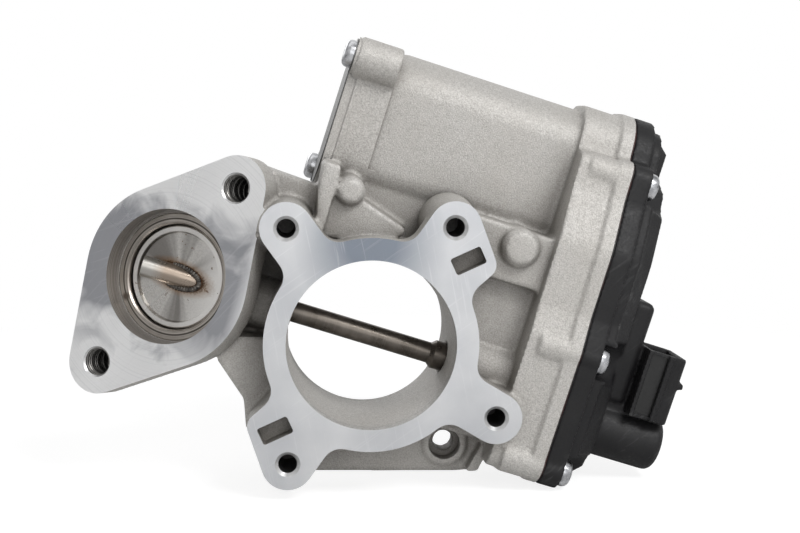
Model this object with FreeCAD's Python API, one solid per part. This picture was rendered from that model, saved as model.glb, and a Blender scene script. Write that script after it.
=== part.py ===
import FreeCAD, Part
import math
import os
from FreeCAD import Vector

# Local frame while modelling: x runs along the valve shaft towards the gearbox,
# y runs into the part from the machined face, z runs up across the shaft.
# The finished solids are turned by STANCE about y, so that the part stands on its feet.
STANCE = 17.8

# Air duct and its machined face
BORE_R = 28.5
BORE_REGISTER = 5.0
BORE_WAIST_R = 27.7
BORE_REAR_R = 28.7
DUCT_LENGTH = 50.0
DUCT_OUTER_R = 34.0
FACE_RING_R = 36.0
FACE_THICKNESS = 11.0
LOBE_R = 8.8
LOBE_FOOT_R = 10.2
LOBE_DEPTH = 26.0
VALLEY_R = 6.4
FACE_HOLES = {"upper_left": (-38.6, 28.8), "upper_right": (14.6, 45.8),
              "lower_right": (47.7, -11.3), "lower_left": (-14.7, -46.4)}
FACE_HOLE_R = 3.15
FACE_HOLE_DEPTH = 20.0
FACE_HOLE_CHAMFER = 1.1
REAR_GROOVE_R = 30.6
REAR_GROOVE_WIDTH = 2.0
REAR_GROOVE_DEPTH = 1.6

# Dowel pockets beside two of the holes
POCKET_AT = (22.1, 36.6)
POCKET_LENGTH = 10.9
POCKET_WIDTH = 6.0
POCKET_DEPTH = 6.0
POCKET_TURN = 41.8
POCKET_CORNER_R = 0.8
POCKET_LOBE_AT = (27.0, 36.7)
POCKET_LOBE_R = 4.6

# Shaft and its bearings
SHAFT_Y = 24.5
SHAFT_R = 3.65
JOURNAL_R = 5.0
JOURNAL_START = 22.4
JOURNAL_CHAMFER = 1.6
JOURNAL_END = 50.4
SPIGOT_R = 3.9
BUSH_OUTER_R = 5.6
BUSH_START = -40.0
BUSH_END = -27.4
BUSH_RUNNING_GAP = 0.04
SHAFT_PASSAGE_GAP = 0.5
BEARING_OUTER_R = 8.0
BEARING_START = 40.5
BEARING_END = 48.5
SHAFT_SEAL_START = 34.5
SHAFT_SEAL_WIDTH = 5.0
SHAFT_SEAL_GAP = 0.05

# Gas port, turned to the left about the centre of the valve disc
DISC_CENTRE_X = -67.7
PORT_TURN = 26.0
PORT_FACE_AHEAD = 10.4
PORT_PLATE = 9.5
PORT_RING_R = 30.9
PORT_EAR_R = 11.0
PORT_HOLE_REACH = 39.2
PORT_HOLE_ANGLE = 66.6
PORT_HOLE_R = 4.5
PORT_HOLE_DEPTH = 17.0
PORT_HOLE_CHAMFER = 0.8
PORT_BORE_R = 22.8
PORT_BORE_FOOT_R = 22.3
SEAT_OUTER_R = 21.8
SEAT_INNER_R = 18.1
SEAT_AHEAD = 3.8
SEAT_BEHIND = 4.0
CHAMBER_R = 19.0
CHAMBER_WALL = 4.0
GAS_WAY_R = 7.5
GAS_WAY_WALL = 3.6
GAS_WAY_FROM = (-62.0, 33.0, -8.0)
GAS_WAY_TO = (-24.0, 38.0, -10.0)

# Valve disc
DISC_R = 17.75
DISC_THICKNESS = 1.5
DISC_RIM_WIDTH = 2.6
DISC_RIM_HEIGHT = 1.3
STUB_REACH = 13.4
WELD_BEAD_R = 0.75

# Motor and its housing
MOTOR_Y = 48.0
MOTOR_Z = 70.0
MOTOR_SHELL_R = 27.5
MOTOR_SHELL_FLAT = 20.0
MOTOR_WALL = 3.0
MOTOR_BLEND_R = 12.0
MOTOR_CAN_CLEARANCE = 0.5
COLLAR_START = -30.0
COLLAR_END = -17.2
COLLAR_PROUD = 0.8
RING_START = 51.4
RING_PROUD = 2.0
END_LUG_R = 7.0
END_LUG_OFFSETS = [(-20.0, 20.6), (20.0, -21.4)]
END_LUGS = [(MOTOR_Y + y, MOTOR_Z + z) for y, z in END_LUG_OFFSETS]
END_PLATE = 3.2
END_SHEET = 0.5
MOTOR_FRONT = 52.0
MOTOR_BACK = -18.0
MOTOR_BELL = 4.0
MOTOR_TOWER = 4.0
MOTOR_TOWER_R = 10.0
WASHER_OUTER_R = 11.0
WASHER_INNER_R = 8.6
MOTOR_SHAFT_R = 1.6
MOTOR_BOSS_R = 8.0

# Gear tray and cover, in (y, z) outlines square to the shaft
TRAY_BACK = 50.5
TRAY_FLOOR = 53.5
SPLIT = 69.0
TRAY_WALL = 3.0
RIM_THICKNESS = 4.6
RIM_PROUD = 1.3
COVER_SEAL = 0.7
COVER_FLANGE = 6.8
COVER_STEP = 3.8
COVER_TOP = 86.0
COVER_WALL = 2.1
COVER_CORNER = [(0, 112), (45, 112), (42.6, 93.2), (42.0, 82.5), (30.0, 78.0), (22.5, 72.6), (17, 70.5), (0, 70.5)]
COVER_SCREWS = [(19.4, 78.4), (8.1, 16.6), (8.1, -24.0), (67.0, 88.0), (60.0, 27.0), (43.5, -24.0)]
COVER_LUG_R = 5.6
SCREW_SHANK_R = 2.4
SCREW_HEAD_R = 4.8
SCREW_HEAD_HEIGHT = 3.5

# Gear train from the motor pinion to the output gear: module, teeth, span along the shaft
PRESSURE_ANGLE = 20.0
BACKLASH = 0.16
FIRST_MODULE, FIRST_PINION, FIRST_WHEEL = 0.8, 12, 50
SECOND_MODULE, SECOND_PINION, SECOND_WHEEL = 1.0, 12, 37
THIRD_MODULE, THIRD_PINION, THIRD_WHEEL = 1.2, 12, 29
PINION_SHIFT = 0.35
FIRST_FACE, SECOND_FACE, THIRD_FACE = 3.2, 4.4, 5.2
WHEEL_GAP = 0.8
PINION_STEP = 0.2
WHEEL_RECESS = 1.4
WHEEL_RIM = 3.2
TRAVEL = 75.0
SECTOR_SPARE = 13.0
LOWER_IDLER_LEAN = 17.5
PIN_R = 2.0
PIN_GAP = 0.05
PIN_FOOT = 0.5

# Connector on the cover
BOX_Y = (17.0, 40.0)
BOX_Z = (3.0, 40.0)
BOX_OUT = 93.2
STEM_R = 9.6
STEM_AT = (23.5, -8.0)
STEM_OUT = 110.5
SOCKET_X = (93.9, 108.6)
SOCKET_Y = (12.5, 34.5)
SOCKET_Z = (1.0, 25.2)
SOCKET_WALL = 1.7
SOCKET_FLOOR = 7.0
LATCH_NOSE = (1.4, 3.6, 2.2)
LATCH_AT = (12.9, 14.6)
TERMINAL_SIZE = 0.8
TERMINAL_LENGTH = 9.0

# Bolt hole through the lower web
WEB_HOLE_AT = (37.3, -28.8)
WEB_HOLE_R = 3.4
WEB_BOSS_R = 7.6
WEB_COUNTERBORE_R = 5.3
WEB_COUNTERBORE_FLOOR = 26.5

# Hub of the output gear, its steel insert and the magnet in front of the shaft end
OUTPUT_HUB_R = 12.0
OUTPUT_CORE_R = 7.5
INSERT_R = 5.6
HUB_STEP = 1.0
HUB_SPRING_GAP = 0.15
MAGNET_R = 4.3
MAGNET_LENGTH = 4.0

# Position sensor board on posts inside the cover
SENSOR_GAP = 2.0
BOARD_THICKNESS = 1.2
BOARD_OUTLINE = [(17, -9, 2), (32, -9, 2), (32, 9, 2), (17, 9, 2)]
BOARD_POSTS = [(19.5, -6.5), (29.5, -6.5), (19.5, 6.5), (29.5, 6.5)]
BOARD_POST_R = 1.6

# Return spring round the bearing boss
SPRING_TURNS = 3
SPRING_WIRE_R = 0.8
SPRING_R = 12.0
SPRING_GAP = 0.05

# Stations along the shaft that follow from the tray floor, the spring and the gear widths
SPRING_END = TRAY_FLOOR + SPRING_TURNS * (2 * SPRING_WIRE_R + SPRING_GAP)
THIRD_START = SPRING_END + HUB_SPRING_GAP + HUB_STEP
THIRD_SPAN = (THIRD_START, THIRD_START + THIRD_FACE)
SECOND_SPAN = (THIRD_SPAN[1] + WHEEL_GAP, THIRD_SPAN[1] + WHEEL_GAP + SECOND_FACE)
FIRST_SPAN = (SECOND_SPAN[1] + WHEEL_GAP, SECOND_SPAN[1] + WHEEL_GAP + FIRST_FACE)
SHAFT_END = THIRD_SPAN[1] + PINION_STEP
BOARD_AT = SHAFT_END + MAGNET_LENGTH + SENSOR_GAP
PIN_END_GAP = 0.6

# Outlines of ribs and plates: (x, z, corner radius), and their depths behind the machined face
LOW_WEB = [(-12, -49, 0), (-6, -52.2, 0), (44.5, -37.2, 2), (50.6, -34.6, 2), (50.0, -20, 0), (20, -20, 0),
           (-12, -30, 0)]
LOW_WEB_SPAN = (22.0, 30.0)
LOW_RIB = [(46.6, -35.6, 0.8), (50.8, -34.0, 0.8), (52.6, -22, 0), (49.6, -22, 0)]
LOW_RIB_SPAN = (17.0, 40.0)
LEFT_PLATE = [(-50, -14, 0), (-47.1, -22.4, 2), (-34.7, -32.6, 1), (-31.0, -42, 1), (-20, -44, 0), (-16, -20, 0),
              (-26, -8, 0)]
LEFT_PLATE_SPAN = (15.0, 36.0)
TOP_PLATE = [(-57, 38, 0), (-54, 45.2, 2), (-31.2, 44.3, 1), (-25, 44, 0), (-27, 24, 0), (-44, 27, 0)]
TOP_PLATE_SPAN = (17.0, 34.0)
LEFT_RIB = [(-32.2, 44.0, 1), (-33.2, 53.5, 1), (-26.9, 53.5, 1), (-26.3, 31, 1), (-29.2, 31, 1)]
LEFT_RIB_SPAN = (8.0, 27.8)
UPPER_FLOOR = [(-27.4, 46, 1), (-27.4, 28, 0), (-6, 33, 0), (0.3, 37.2, 1), (0.3, 39.6, 1), (-18, 45.2, 1)]
UPPER_FLOOR_SPAN = (12.5, 30.0)
MOTOR_NECK = [(-29, 24, 0), (-29, 56, 0), (52, 56, 0), (52, 20, 0)]
MOTOR_NECK_SPAN = (30.0, 50.0)
RECESS_FLOOR = [(-62, 4, 0), (-58, 40, 0), (-24, 44, 0), (-24, 4, 0)]
RECESS_FLOOR_SPAN = (31.0, 37.0)
RIGHT_FLOOR = [(24, -23.4, 0), (52, -23.4, 0), (52, 38, 0), (24, 38, 0)]
RIGHT_FLOOR_SPAN = (18.0, 44.0)
RIGHT_STEP = [(20, 32.6, 3), (53, 32.6, 3), (53, 51.5, 3), (20, 51.5, 3)]
RIGHT_STEP_SPAN = (12.5, 40.0)

# Ejector bosses: place, seat radius and front, boss radius and front
SMALL_BOSS = ((-21.6, 46.6), (4.9, 9.6), (3.9, 8.0))
BIG_BOSS = ((39.3, 45.4), (6.7, 9.8), (5.5, 8.0))
BOSS_BACK = 30.0

# Side of the blocks that trim the swing chamber
TRIM_BLOCK = 120.0

Y_AXIS = Vector(0, 1, 0)
X_AXIS = Vector(1, 0, 0)
ORIGIN = Vector(0, 0, 0)


def along_x(u, v, x):
    """Point of a (y, z) outline at a station on the shaft."""
    return Vector(x, u, v)


def along_y(u, v, y):
    """Point of an (x, z) outline at a depth behind the machined face."""
    return Vector(u, y, v)


def rounded_wire(corners, place, station):
    """Closed wire through (u, v, radius) corners, each rounded by its radius."""
    edges = []
    count = len(corners)
    ends = []
    for index in range(count):
        u, v, radius = corners[index]
        before = corners[index - 1]
        after = corners[(index + 1) % count]
        here = Vector(u, v, 0)
        back = (Vector(before[0], before[1], 0) - here).normalize()
        onward = (Vector(after[0], after[1], 0) - here).normalize()
        if radius <= 0:
            ends.append((here, here, None))
            continue
        half = back.getAngle(onward) / 2
        run = radius / math.tan(half)
        middle_line = (back + onward).normalize()
        centre = here + middle_line * (radius / math.sin(half))
        ends.append((here + back * run, here + onward * run, centre - middle_line * radius))
    for index in range(count):
        start, finish, middle = ends[index]
        following = ends[(index + 1) % count][0]
        if middle is not None:
            points = [place(p.x, p.y, station) for p in (start, middle, finish)]
            edges.append(Part.Arc(*points).toShape())
        if finish.distanceToPoint(following) > 1e-6:
            edges.append(Part.makeLine(place(finish.x, finish.y, station), place(following.x, following.y, station)))
    return Part.Wire(edges)


def slab_x(corners, start, end):
    """Rounded (y, z) outline extruded along the shaft."""
    return Part.Face(rounded_wire(corners, along_x, start)).extrude(Vector(end - start, 0, 0))


def slab_y(corners, start, end):
    """Rounded (x, z) outline extruded into the part."""
    return Part.Face(rounded_wire(corners, along_y, start)).extrude(Vector(0, end - start, 0))


def rod_x(radius, start, end, y=SHAFT_Y, z=0.0):
    return Part.makeCylinder(radius, end - start, Vector(start, y, z), X_AXIS)


def rod_y(radius, start, end, x, z):
    return Part.makeCylinder(radius, end - start, Vector(x, start, z), Y_AXIS)


def cone_y(first_r, last_r, start, end, x=0.0, z=0.0):
    return Part.makeCone(first_r, last_r, end - start, Vector(x, start, z), Y_AXIS)


def cone_x(first_r, last_r, start, end, y=SHAFT_Y, z=0.0):
    return Part.makeCone(first_r, last_r, end - start, Vector(start, y, z), X_AXIS)


def two_circle_hull(first, first_r, last, last_r, start, end):
    """Slab along y whose outline wraps two circles in (x, z)."""
    first_at = Vector(first[0], first[1], 0)
    last_at = Vector(last[0], last[1], 0)
    line = last_at - first_at
    reach = line.Length
    heading = math.atan2(line.y, line.x)
    lean = math.acos((first_r - last_r) / reach)
    points = []
    for side in (1, -1):
        turn = heading + side * lean
        out = Vector(math.cos(turn), math.sin(turn), 0)
        points.append((first_at + out * first_r, last_at + out * last_r))
    (a, b), (d, c) = points
    ring = [along_y(p.x, p.y, start) for p in (a, b, c, d, a)]
    bridge = Part.Face(Part.makePolygon(ring)).extrude(Vector(0, end - start, 0))
    ends = [rod_y(first_r, start, end, *first), rod_y(last_r, start, end, *last)]
    return bridge.fuse(ends).removeSplitter()


def in_port_frame(shape):
    """Turn a shape built along y about the origin into the gas port's place."""
    moved = shape.copy()
    moved.rotate(ORIGIN, Vector(0, 0, 1), -PORT_TURN)
    moved.translate(Vector(DISC_CENTRE_X, SHAFT_Y, 0))
    return moved


def double_d(radius, flat, start, end, blend):
    """Motor section: a circle with a flat at the front and at the back."""
    round_bar = rod_x(radius, start, end, MOTOR_Y, MOTOR_Z)
    corner = Vector(start, MOTOR_Y - flat, MOTOR_Z - radius - 1)
    block = Part.makeBox(end - start, 2 * flat, 2 * radius + 2, corner)
    bar = round_bar.common(block)
    if blend <= 0:
        return bar
    sharp = [e for e in bar.Edges if abs(e.Length - (end - start)) < 1e-3 and len(e.Vertexes) == 2]
    sharp = [e for e in sharp if abs(e.tangentAt(e.FirstParameter).x) > 0.99]
    sharp = [e for e in sharp if abs(abs(e.CenterOfMass.y - MOTOR_Y) - flat) < 1e-3]
    return bar.makeFillet(blend, sharp)


def upright_edges(shape, direction, length, inside):
    """Edges along a direction, of a given length, whose middle passes the test."""
    found = []
    for edge in shape.Edges:
        if len(edge.Vertexes) != 2 or abs(edge.Length - length) > 1e-3:
            continue
        tangent = edge.tangentAt((edge.FirstParameter + edge.LastParameter) / 2)
        if abs(tangent.dot(direction)) > 0.99 and inside(edge.CenterOfMass):
            found.append(edge)
    return found


def turned(point):
    """The same place half a turn further round the air bore."""
    return (-point[0], -point[1])


def face_plate():
    """Front flange: a ring, four lobes on necks, and two dowel lobes."""
    depth = FACE_THICKNESS
    plate = rod_y(FACE_RING_R, 0, depth, 0, 0)
    pieces = []
    for at in FACE_HOLES.values():
        pieces.append(two_circle_hull((0, 0), LOBE_R - 0.01, at, LOBE_R, 0, depth))
    for hole, corner in (("upper_right", POCKET_LOBE_AT), ("lower_left", turned(POCKET_LOBE_AT))):
        at = FACE_HOLES[hole]
        pieces.append(two_circle_hull(at, LOBE_R, corner, POCKET_LOBE_R, 0, depth))
        pieces.append(two_circle_hull((0, 0), POCKET_LOBE_R + 4.0, corner, POCKET_LOBE_R, 0, depth))
    plate = plate.fuse(pieces).removeSplitter()
    valleys = upright_edges(plate, Y_AXIS, depth, lambda c: abs(math.hypot(c.x, c.z) - FACE_RING_R) < 0.4)
    return plate.makeFillet(VALLEY_R, valleys)


def lobe_bosses():
    """Cast bosses behind the lobes, with draft, for the blind holes."""
    bosses = []
    for at in FACE_HOLES.values():
        bosses.append(cone_y(LOBE_R - 0.1, LOBE_FOOT_R, 0.6, LOBE_DEPTH, *at))
    for corner in (POCKET_LOBE_AT, turned(POCKET_LOBE_AT)):
        bosses.append(two_circle_hull((0, 0), POCKET_LOBE_R + 8, corner, POCKET_LOBE_R - 0.3, FACE_THICKNESS - 1,
                                      FACE_THICKNESS + 7))
    return bosses


def gas_way(radius):
    start = Vector(*GAS_WAY_FROM)
    run = Vector(*GAS_WAY_TO) - start
    return Part.makeCylinder(radius, run.Length, start, run)


def port_castings():
    """Port flange with its two ears, the swing chamber and the passage to the duct."""
    face = -PORT_FACE_AHEAD
    back = face + PORT_PLATE
    hole = port_hole_place()
    plate = two_circle_hull((0, 0), PORT_RING_R, hole, PORT_EAR_R, face, back)
    plate = plate.fuse(two_circle_hull((0, 0), PORT_RING_R, turned(hole), PORT_EAR_R, face, back))
    neck = cone_y(PORT_RING_R - 2.5, CHAMBER_R + CHAMBER_WALL, back - 1, 12)
    ears = []
    for at in (hole, turned(hole)):
        ears.append(cone_y(PORT_EAR_R - 1.5, PORT_EAR_R - 3.0, back - 1, face + PORT_HOLE_DEPTH + 4, *at))
        inner = (at[0] * 0.55, at[1] * 0.55)
        ears.append(two_circle_hull(at, 4.0, inner, 7.0, back - 1, face + PORT_HOLE_DEPTH + 2))
    flange = in_port_frame(plate.fuse([neck] + ears))
    ball = Part.makeSphere(CHAMBER_R + CHAMBER_WALL, Vector(DISC_CENTRE_X, SHAFT_Y, 0))
    half = TRIM_BLOCK / 2
    front = Part.makeBox(TRIM_BLOCK, half, TRIM_BLOCK, Vector(-half, -half - PORT_FACE_AHEAD + 2, -half))
    ball = ball.cut(in_port_frame(front))
    boss = rod_x(BUSH_OUTER_R + 3.4, DISC_CENTRE_X + 12, -BORE_WAIST_R)
    return [flange, ball, gas_way(GAS_WAY_R + GAS_WAY_WALL), boss]


def port_hole_place():
    angle = math.radians(PORT_HOLE_ANGLE)
    return (PORT_HOLE_REACH * math.cos(angle), PORT_HOLE_REACH * math.sin(angle))


def port_cuts():
    """Bore, seat pocket, swing chamber, passage and threaded holes of the gas port."""
    face = -PORT_FACE_AHEAD
    mouth = cone_y(PORT_BORE_R, PORT_BORE_FOOT_R, face - 0.01, -SEAT_AHEAD)
    pocket = rod_y(SEAT_OUTER_R, -SEAT_AHEAD - 0.5, SEAT_BEHIND, 0, 0)
    throat = rod_y(SEAT_INNER_R, SEAT_BEHIND - 0.5, CHAMBER_R * 0.5, 0, 0)
    cuts = [mouth, pocket, throat]
    for at in (port_hole_place(), turned(port_hole_place())):
        cuts.append(rod_y(PORT_HOLE_R, face - 1, face + PORT_HOLE_DEPTH, *at))
        chamfer_r = PORT_HOLE_R + PORT_HOLE_CHAMFER
        cuts.append(cone_y(chamfer_r + 0.1, PORT_HOLE_R, face - 0.1, face + PORT_HOLE_CHAMFER, *at))
    ball = Part.makeSphere(CHAMBER_R, Vector(DISC_CENTRE_X, SHAFT_Y, 0))
    half = TRIM_BLOCK / 2
    keep = Part.makeBox(TRIM_BLOCK, half, TRIM_BLOCK, Vector(-half, -half + SEAT_BEHIND, -half))
    ball = ball.cut(in_port_frame(keep))
    return [in_port_frame(c) for c in cuts] + [ball, gas_way(GAS_WAY_R)]


def motor_housing():
    """Shell round the motor: collar with two screw lugs at the left, ring at the right."""
    shell = double_d(MOTOR_SHELL_R, MOTOR_SHELL_FLAT, COLLAR_END - 1, RING_START + 1, MOTOR_BLEND_R)
    collar_r = MOTOR_SHELL_R + COLLAR_PROUD
    collar = double_d(collar_r, MOTOR_SHELL_FLAT + COLLAR_PROUD, COLLAR_START, COLLAR_END, MOTOR_BLEND_R)
    ring_r = MOTOR_SHELL_R + RING_PROUD
    ring = double_d(ring_r, MOTOR_SHELL_FLAT + RING_PROUD, RING_START, SPLIT, MOTOR_BLEND_R)
    lugs = [rod_x(END_LUG_R, COLLAR_START, COLLAR_END, y, z) for y, z in END_LUGS]
    return [shell, collar, ring] + lugs


def motor_bore():
    """Room for the motor, open at the left, with a wall at the gear end."""
    inner = double_d(MOTOR_SHELL_R - MOTOR_WALL, MOTOR_SHELL_FLAT - MOTOR_WALL, COLLAR_START - 1,
                     MOTOR_FRONT - 2.0, MOTOR_BLEND_R - 2)
    nose = rod_x(MOTOR_BOSS_R, MOTOR_FRONT - 3, TRAY_FLOOR + 1, MOTOR_Y, MOTOR_Z)
    return [inner, nose]


def tray_outline(grow):
    """Gear tray outline in (y, z), grown outwards by a distance."""
    g = grow
    return [(4.4 - g, -29.2 - g, 6 + g), (47.5 + g, -29.2 - g, 9 + g), (47.5 + g, 4.0, 14),
            (58.5 + g, 24.0, 12), (66.5 + g, 40.0, 14), (70.0 + g, 60.0, 16), (70.0 + g, 99.6 + g, 19 + g),
            (26.0 - g, 99.6 + g, 15 + g), (26.0 - g, 84.0 + g, max(3 - g, 0.8)), (15.6 - g, 83.0 + g, 4 + g),
            (13.9 - g, 71.0, 12), (7.6 - g, 53.0, 20), (6.8 - g, 29.5, 6), (4.4 - g, 19.5, 7)]


def gear_tray():
    """Tray behind the cover: floor, wall and a rim with screw lugs."""
    tray = slab_x(tray_outline(0), TRAY_BACK, SPLIT)
    rim = slab_x(tray_outline(RIM_PROUD), SPLIT - RIM_THICKNESS, SPLIT)
    lugs = []
    for y, z in COVER_SCREWS:
        lugs.append(rod_x(COVER_LUG_R, TRAY_BACK + 4, SPLIT, y, z))
    return [tray, rim] + lugs


def tray_cuts():
    room = slab_x(tray_outline(-TRAY_WALL), TRAY_FLOOR, SPLIT + 1)
    walls = [rod_x(COVER_LUG_R - 0.8, TRAY_FLOOR - 1, SPLIT + 1, y, z) for y, z in COVER_SCREWS]
    room = room.cut(walls)
    holes = [rod_x(SCREW_SHANK_R, SPLIT - 12, SPLIT + 1, y, z) for y, z in COVER_SCREWS]
    return [room] + holes


def bearing_stack():
    """Boss for the shaft bearing between the duct and the tray floor."""
    return [rod_x(BEARING_OUTER_R + 3.5, BORE_R - 3, TRAY_BACK + 1),
            rod_x(BEARING_OUTER_R + 2.2, TRAY_BACK, TRAY_FLOOR + 1.5)]


def bearing_cuts():
    return [rod_x(JOURNAL_R + SHAFT_PASSAGE_GAP, BORE_R - 8, BEARING_START + 1),
            rod_x(BEARING_OUTER_R, SHAFT_SEAL_START, TRAY_FLOOR + 4),
            rod_x(BUSH_OUTER_R, BUSH_START, BUSH_END + 4),
            rod_x(SHAFT_R + SHAFT_PASSAGE_GAP, BUSH_START - 12, BUSH_START + 1)]


def webs():
    """Ribs and plates of the casting between the duct, the port, the motor and the tray."""
    plates = [slab_y(LOW_WEB, *LOW_WEB_SPAN), slab_y(LOW_RIB, *LOW_RIB_SPAN), slab_y(LEFT_PLATE, *LEFT_PLATE_SPAN),
              slab_y(TOP_PLATE, *TOP_PLATE_SPAN), slab_y(LEFT_RIB, *LEFT_RIB_SPAN),
              slab_y(UPPER_FLOOR, *UPPER_FLOOR_SPAN), slab_y(MOTOR_NECK, *MOTOR_NECK_SPAN),
              slab_y(RECESS_FLOOR, *RECESS_FLOOR_SPAN), slab_y(RIGHT_FLOOR, *RIGHT_FLOOR_SPAN),
              slab_y(RIGHT_STEP, *RIGHT_STEP_SPAN)]
    bosses = [rod_y(WEB_BOSS_R, LOW_WEB_SPAN[0] - 1, LOW_WEB_SPAN[1] + 4, *WEB_HOLE_AT)]
    for at, seat, boss in (SMALL_BOSS, BIG_BOSS):
        bosses.append(rod_y(seat[0], seat[1], BOSS_BACK, *at))
        bosses.append(rod_y(boss[0], boss[1], BOSS_BACK, *at))
    return plates + bosses


def face_cuts():
    """Air bore, blind holes, dowel pockets, the web bolt hole and the rear seal groove."""
    cuts = [rod_y(BORE_R, -1, BORE_REGISTER, 0, 0), cone_y(BORE_R, BORE_WAIST_R, BORE_REGISTER, SHAFT_Y),
            cone_y(BORE_WAIST_R, BORE_REAR_R, SHAFT_Y, DUCT_LENGTH + 0.01)]
    for at in FACE_HOLES.values():
        cuts.append(rod_y(FACE_HOLE_R, -1, FACE_HOLE_DEPTH, *at))
        cuts.append(cone_y(FACE_HOLE_R + FACE_HOLE_CHAMFER + 0.1, FACE_HOLE_R, -0.1, FACE_HOLE_CHAMFER, *at))
    half_l = POCKET_LENGTH / 2
    half_w = POCKET_WIDTH / 2
    r = POCKET_CORNER_R
    for at in (POCKET_AT, turned(POCKET_AT)):
        pocket = slab_y([(-half_l, -half_w, r), (half_l, -half_w, r), (half_l, half_w, r), (-half_l, half_w, r)],
                        -1, POCKET_DEPTH)
        pocket.rotate(ORIGIN, Y_AXIS, -POCKET_TURN)
        pocket.translate(Vector(at[0], 0, at[1]))
        cuts.append(pocket)
    cuts.append(rod_y(WEB_HOLE_R, 10, 45, *WEB_HOLE_AT))
    cuts.append(rod_y(WEB_COUNTERBORE_R, 10, WEB_COUNTERBORE_FLOOR, *WEB_HOLE_AT))
    ring = rod_y(REAR_GROOVE_R + REAR_GROOVE_WIDTH, DUCT_LENGTH - REAR_GROOVE_DEPTH, DUCT_LENGTH + 1, 0, 0)
    cuts.append(ring.cut(rod_y(REAR_GROOVE_R, DUCT_LENGTH - 5, DUCT_LENGTH + 2, 0, 0)))
    return cuts


def housing():
    """The die-cast body in one piece."""
    duct = cone_y(FACE_RING_R - 1.0, DUCT_OUTER_R, 1.0, DUCT_LENGTH)
    solids = [duct] + lobe_bosses() + port_castings() + motor_housing() + gear_tray() + webs() + bearing_stack()
    body = face_plate().fuse(solids)
    cuts = face_cuts() + port_cuts() + motor_bore() + tray_cuts() + bearing_cuts()
    for y, z in END_LUGS:
        cuts.append(rod_x(SCREW_SHANK_R, COLLAR_START - 1, COLLAR_START + 11, y, z))
    for centre in (upper_idler_axis(), lower_idler_axis()):
        cuts.append(rod_x(PIN_R, TRAY_BACK + PIN_FOOT, TRAY_FLOOR + 1, *centre))
    return largest_solid(body.cut(cuts))


def largest_solid(shape):
    return max(shape.Solids, key=lambda s: s.Volume)


def lower_idler_axis():
    reach = THIRD_MODULE * (THIRD_PINION + THIRD_WHEEL) / 2
    lean = math.radians(LOWER_IDLER_LEAN)
    return (SHAFT_Y + reach * math.sin(lean), reach * math.cos(lean))


def upper_idler_axis():
    """Third corner of the triangle between the motor and the lower idler."""
    first = FIRST_MODULE * (FIRST_PINION + FIRST_WHEEL) / 2
    second = SECOND_MODULE * (SECOND_PINION + SECOND_WHEEL) / 2
    low = lower_idler_axis()
    across = Vector(low[0] - MOTOR_Y, low[1] - MOTOR_Z, 0)
    span = across.Length
    along = (first ** 2 - second ** 2 + span ** 2) / (2 * span)
    aside = math.sqrt(max(first ** 2 - along ** 2, 0.0))
    unit = across.normalize()
    at = Vector(MOTOR_Y, MOTOR_Z, 0) + unit * along + Vector(-unit.y, unit.x, 0) * aside
    return (at.x, at.y)


def involute_gear(module, teeth, shift, tooth_at, span, centre, arc=None, inner_r=None):
    """Spur gear square to the shaft with one tooth centred at an angle in the (y, z) plane."""
    pressure = math.radians(PRESSURE_ANGLE)
    pitch_r = module * teeth / 2
    base_r = pitch_r * math.cos(pressure)
    tip_r = pitch_r + module * (0.95 + shift)
    root_r = pitch_r - module * (1.25 - shift)
    thick = module * (math.pi / 2 + 2 * shift * math.tan(pressure)) - BACKLASH / 2
    half_at_pitch = thick / (2 * pitch_r)
    roll_at_pitch = math.tan(pressure) - pressure
    flank = []
    start_r = max(base_r, root_r + 0.05)
    for step in range(4):
        radius = start_r + (tip_r - start_r) * step / 3
        angle = math.acos(min(1.0, base_r / radius))
        half = half_at_pitch + roll_at_pitch - (math.tan(angle) - angle)
        flank.append((radius, half))
    root_half = flank[0][1] + 0.02
    pitch_angle = 2 * math.pi / teeth
    points = []
    for tooth in range(teeth):
        middle = tooth_at + tooth * pitch_angle
        if arc is not None and not within_arc(middle, arc):
            low = inner_r
            points.append((low, middle - pitch_angle / 2))
            points.append((low, middle))
            points.append((low, middle + pitch_angle / 2 - 0.001))
            continue
        points.append((root_r, middle - root_half))
        points.extend((radius, middle - half) for radius, half in flank)
        points.extend((radius, middle + half) for radius, half in reversed(flank))
        points.append((root_r, middle + root_half))
    corners = [Vector(span[0], centre[0] + r * math.cos(a), centre[1] + r * math.sin(a)) for r, a in points]
    face = Part.Face(Part.makePolygon(corners + [corners[0]]))
    return face.extrude(Vector(span[1] - span[0], 0, 0))


def within_arc(angle, arc):
    low, high = arc
    middle = (low + high) / 2
    off = math.atan2(math.sin(angle - middle), math.cos(angle - middle))
    return abs(off) <= (high - low) / 2


def heading(start, end):
    return math.atan2(end[1] - start[1], end[0] - start[0])


def wheel_tooth(angle, teeth):
    """Angle of a wheel tooth when the pinion tooth points straight at the wheel."""
    return angle + math.pi + math.pi / teeth


def motor_pinion():
    centre = (MOTOR_Y, MOTOR_Z)
    angle = heading(centre, upper_idler_axis())
    gear = involute_gear(FIRST_MODULE, FIRST_PINION, PINION_SHIFT, angle, FIRST_SPAN, centre)
    return gear.cut(rod_x(MOTOR_SHAFT_R, FIRST_SPAN[0] - 1, FIRST_SPAN[1] + 1, *centre))


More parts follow.
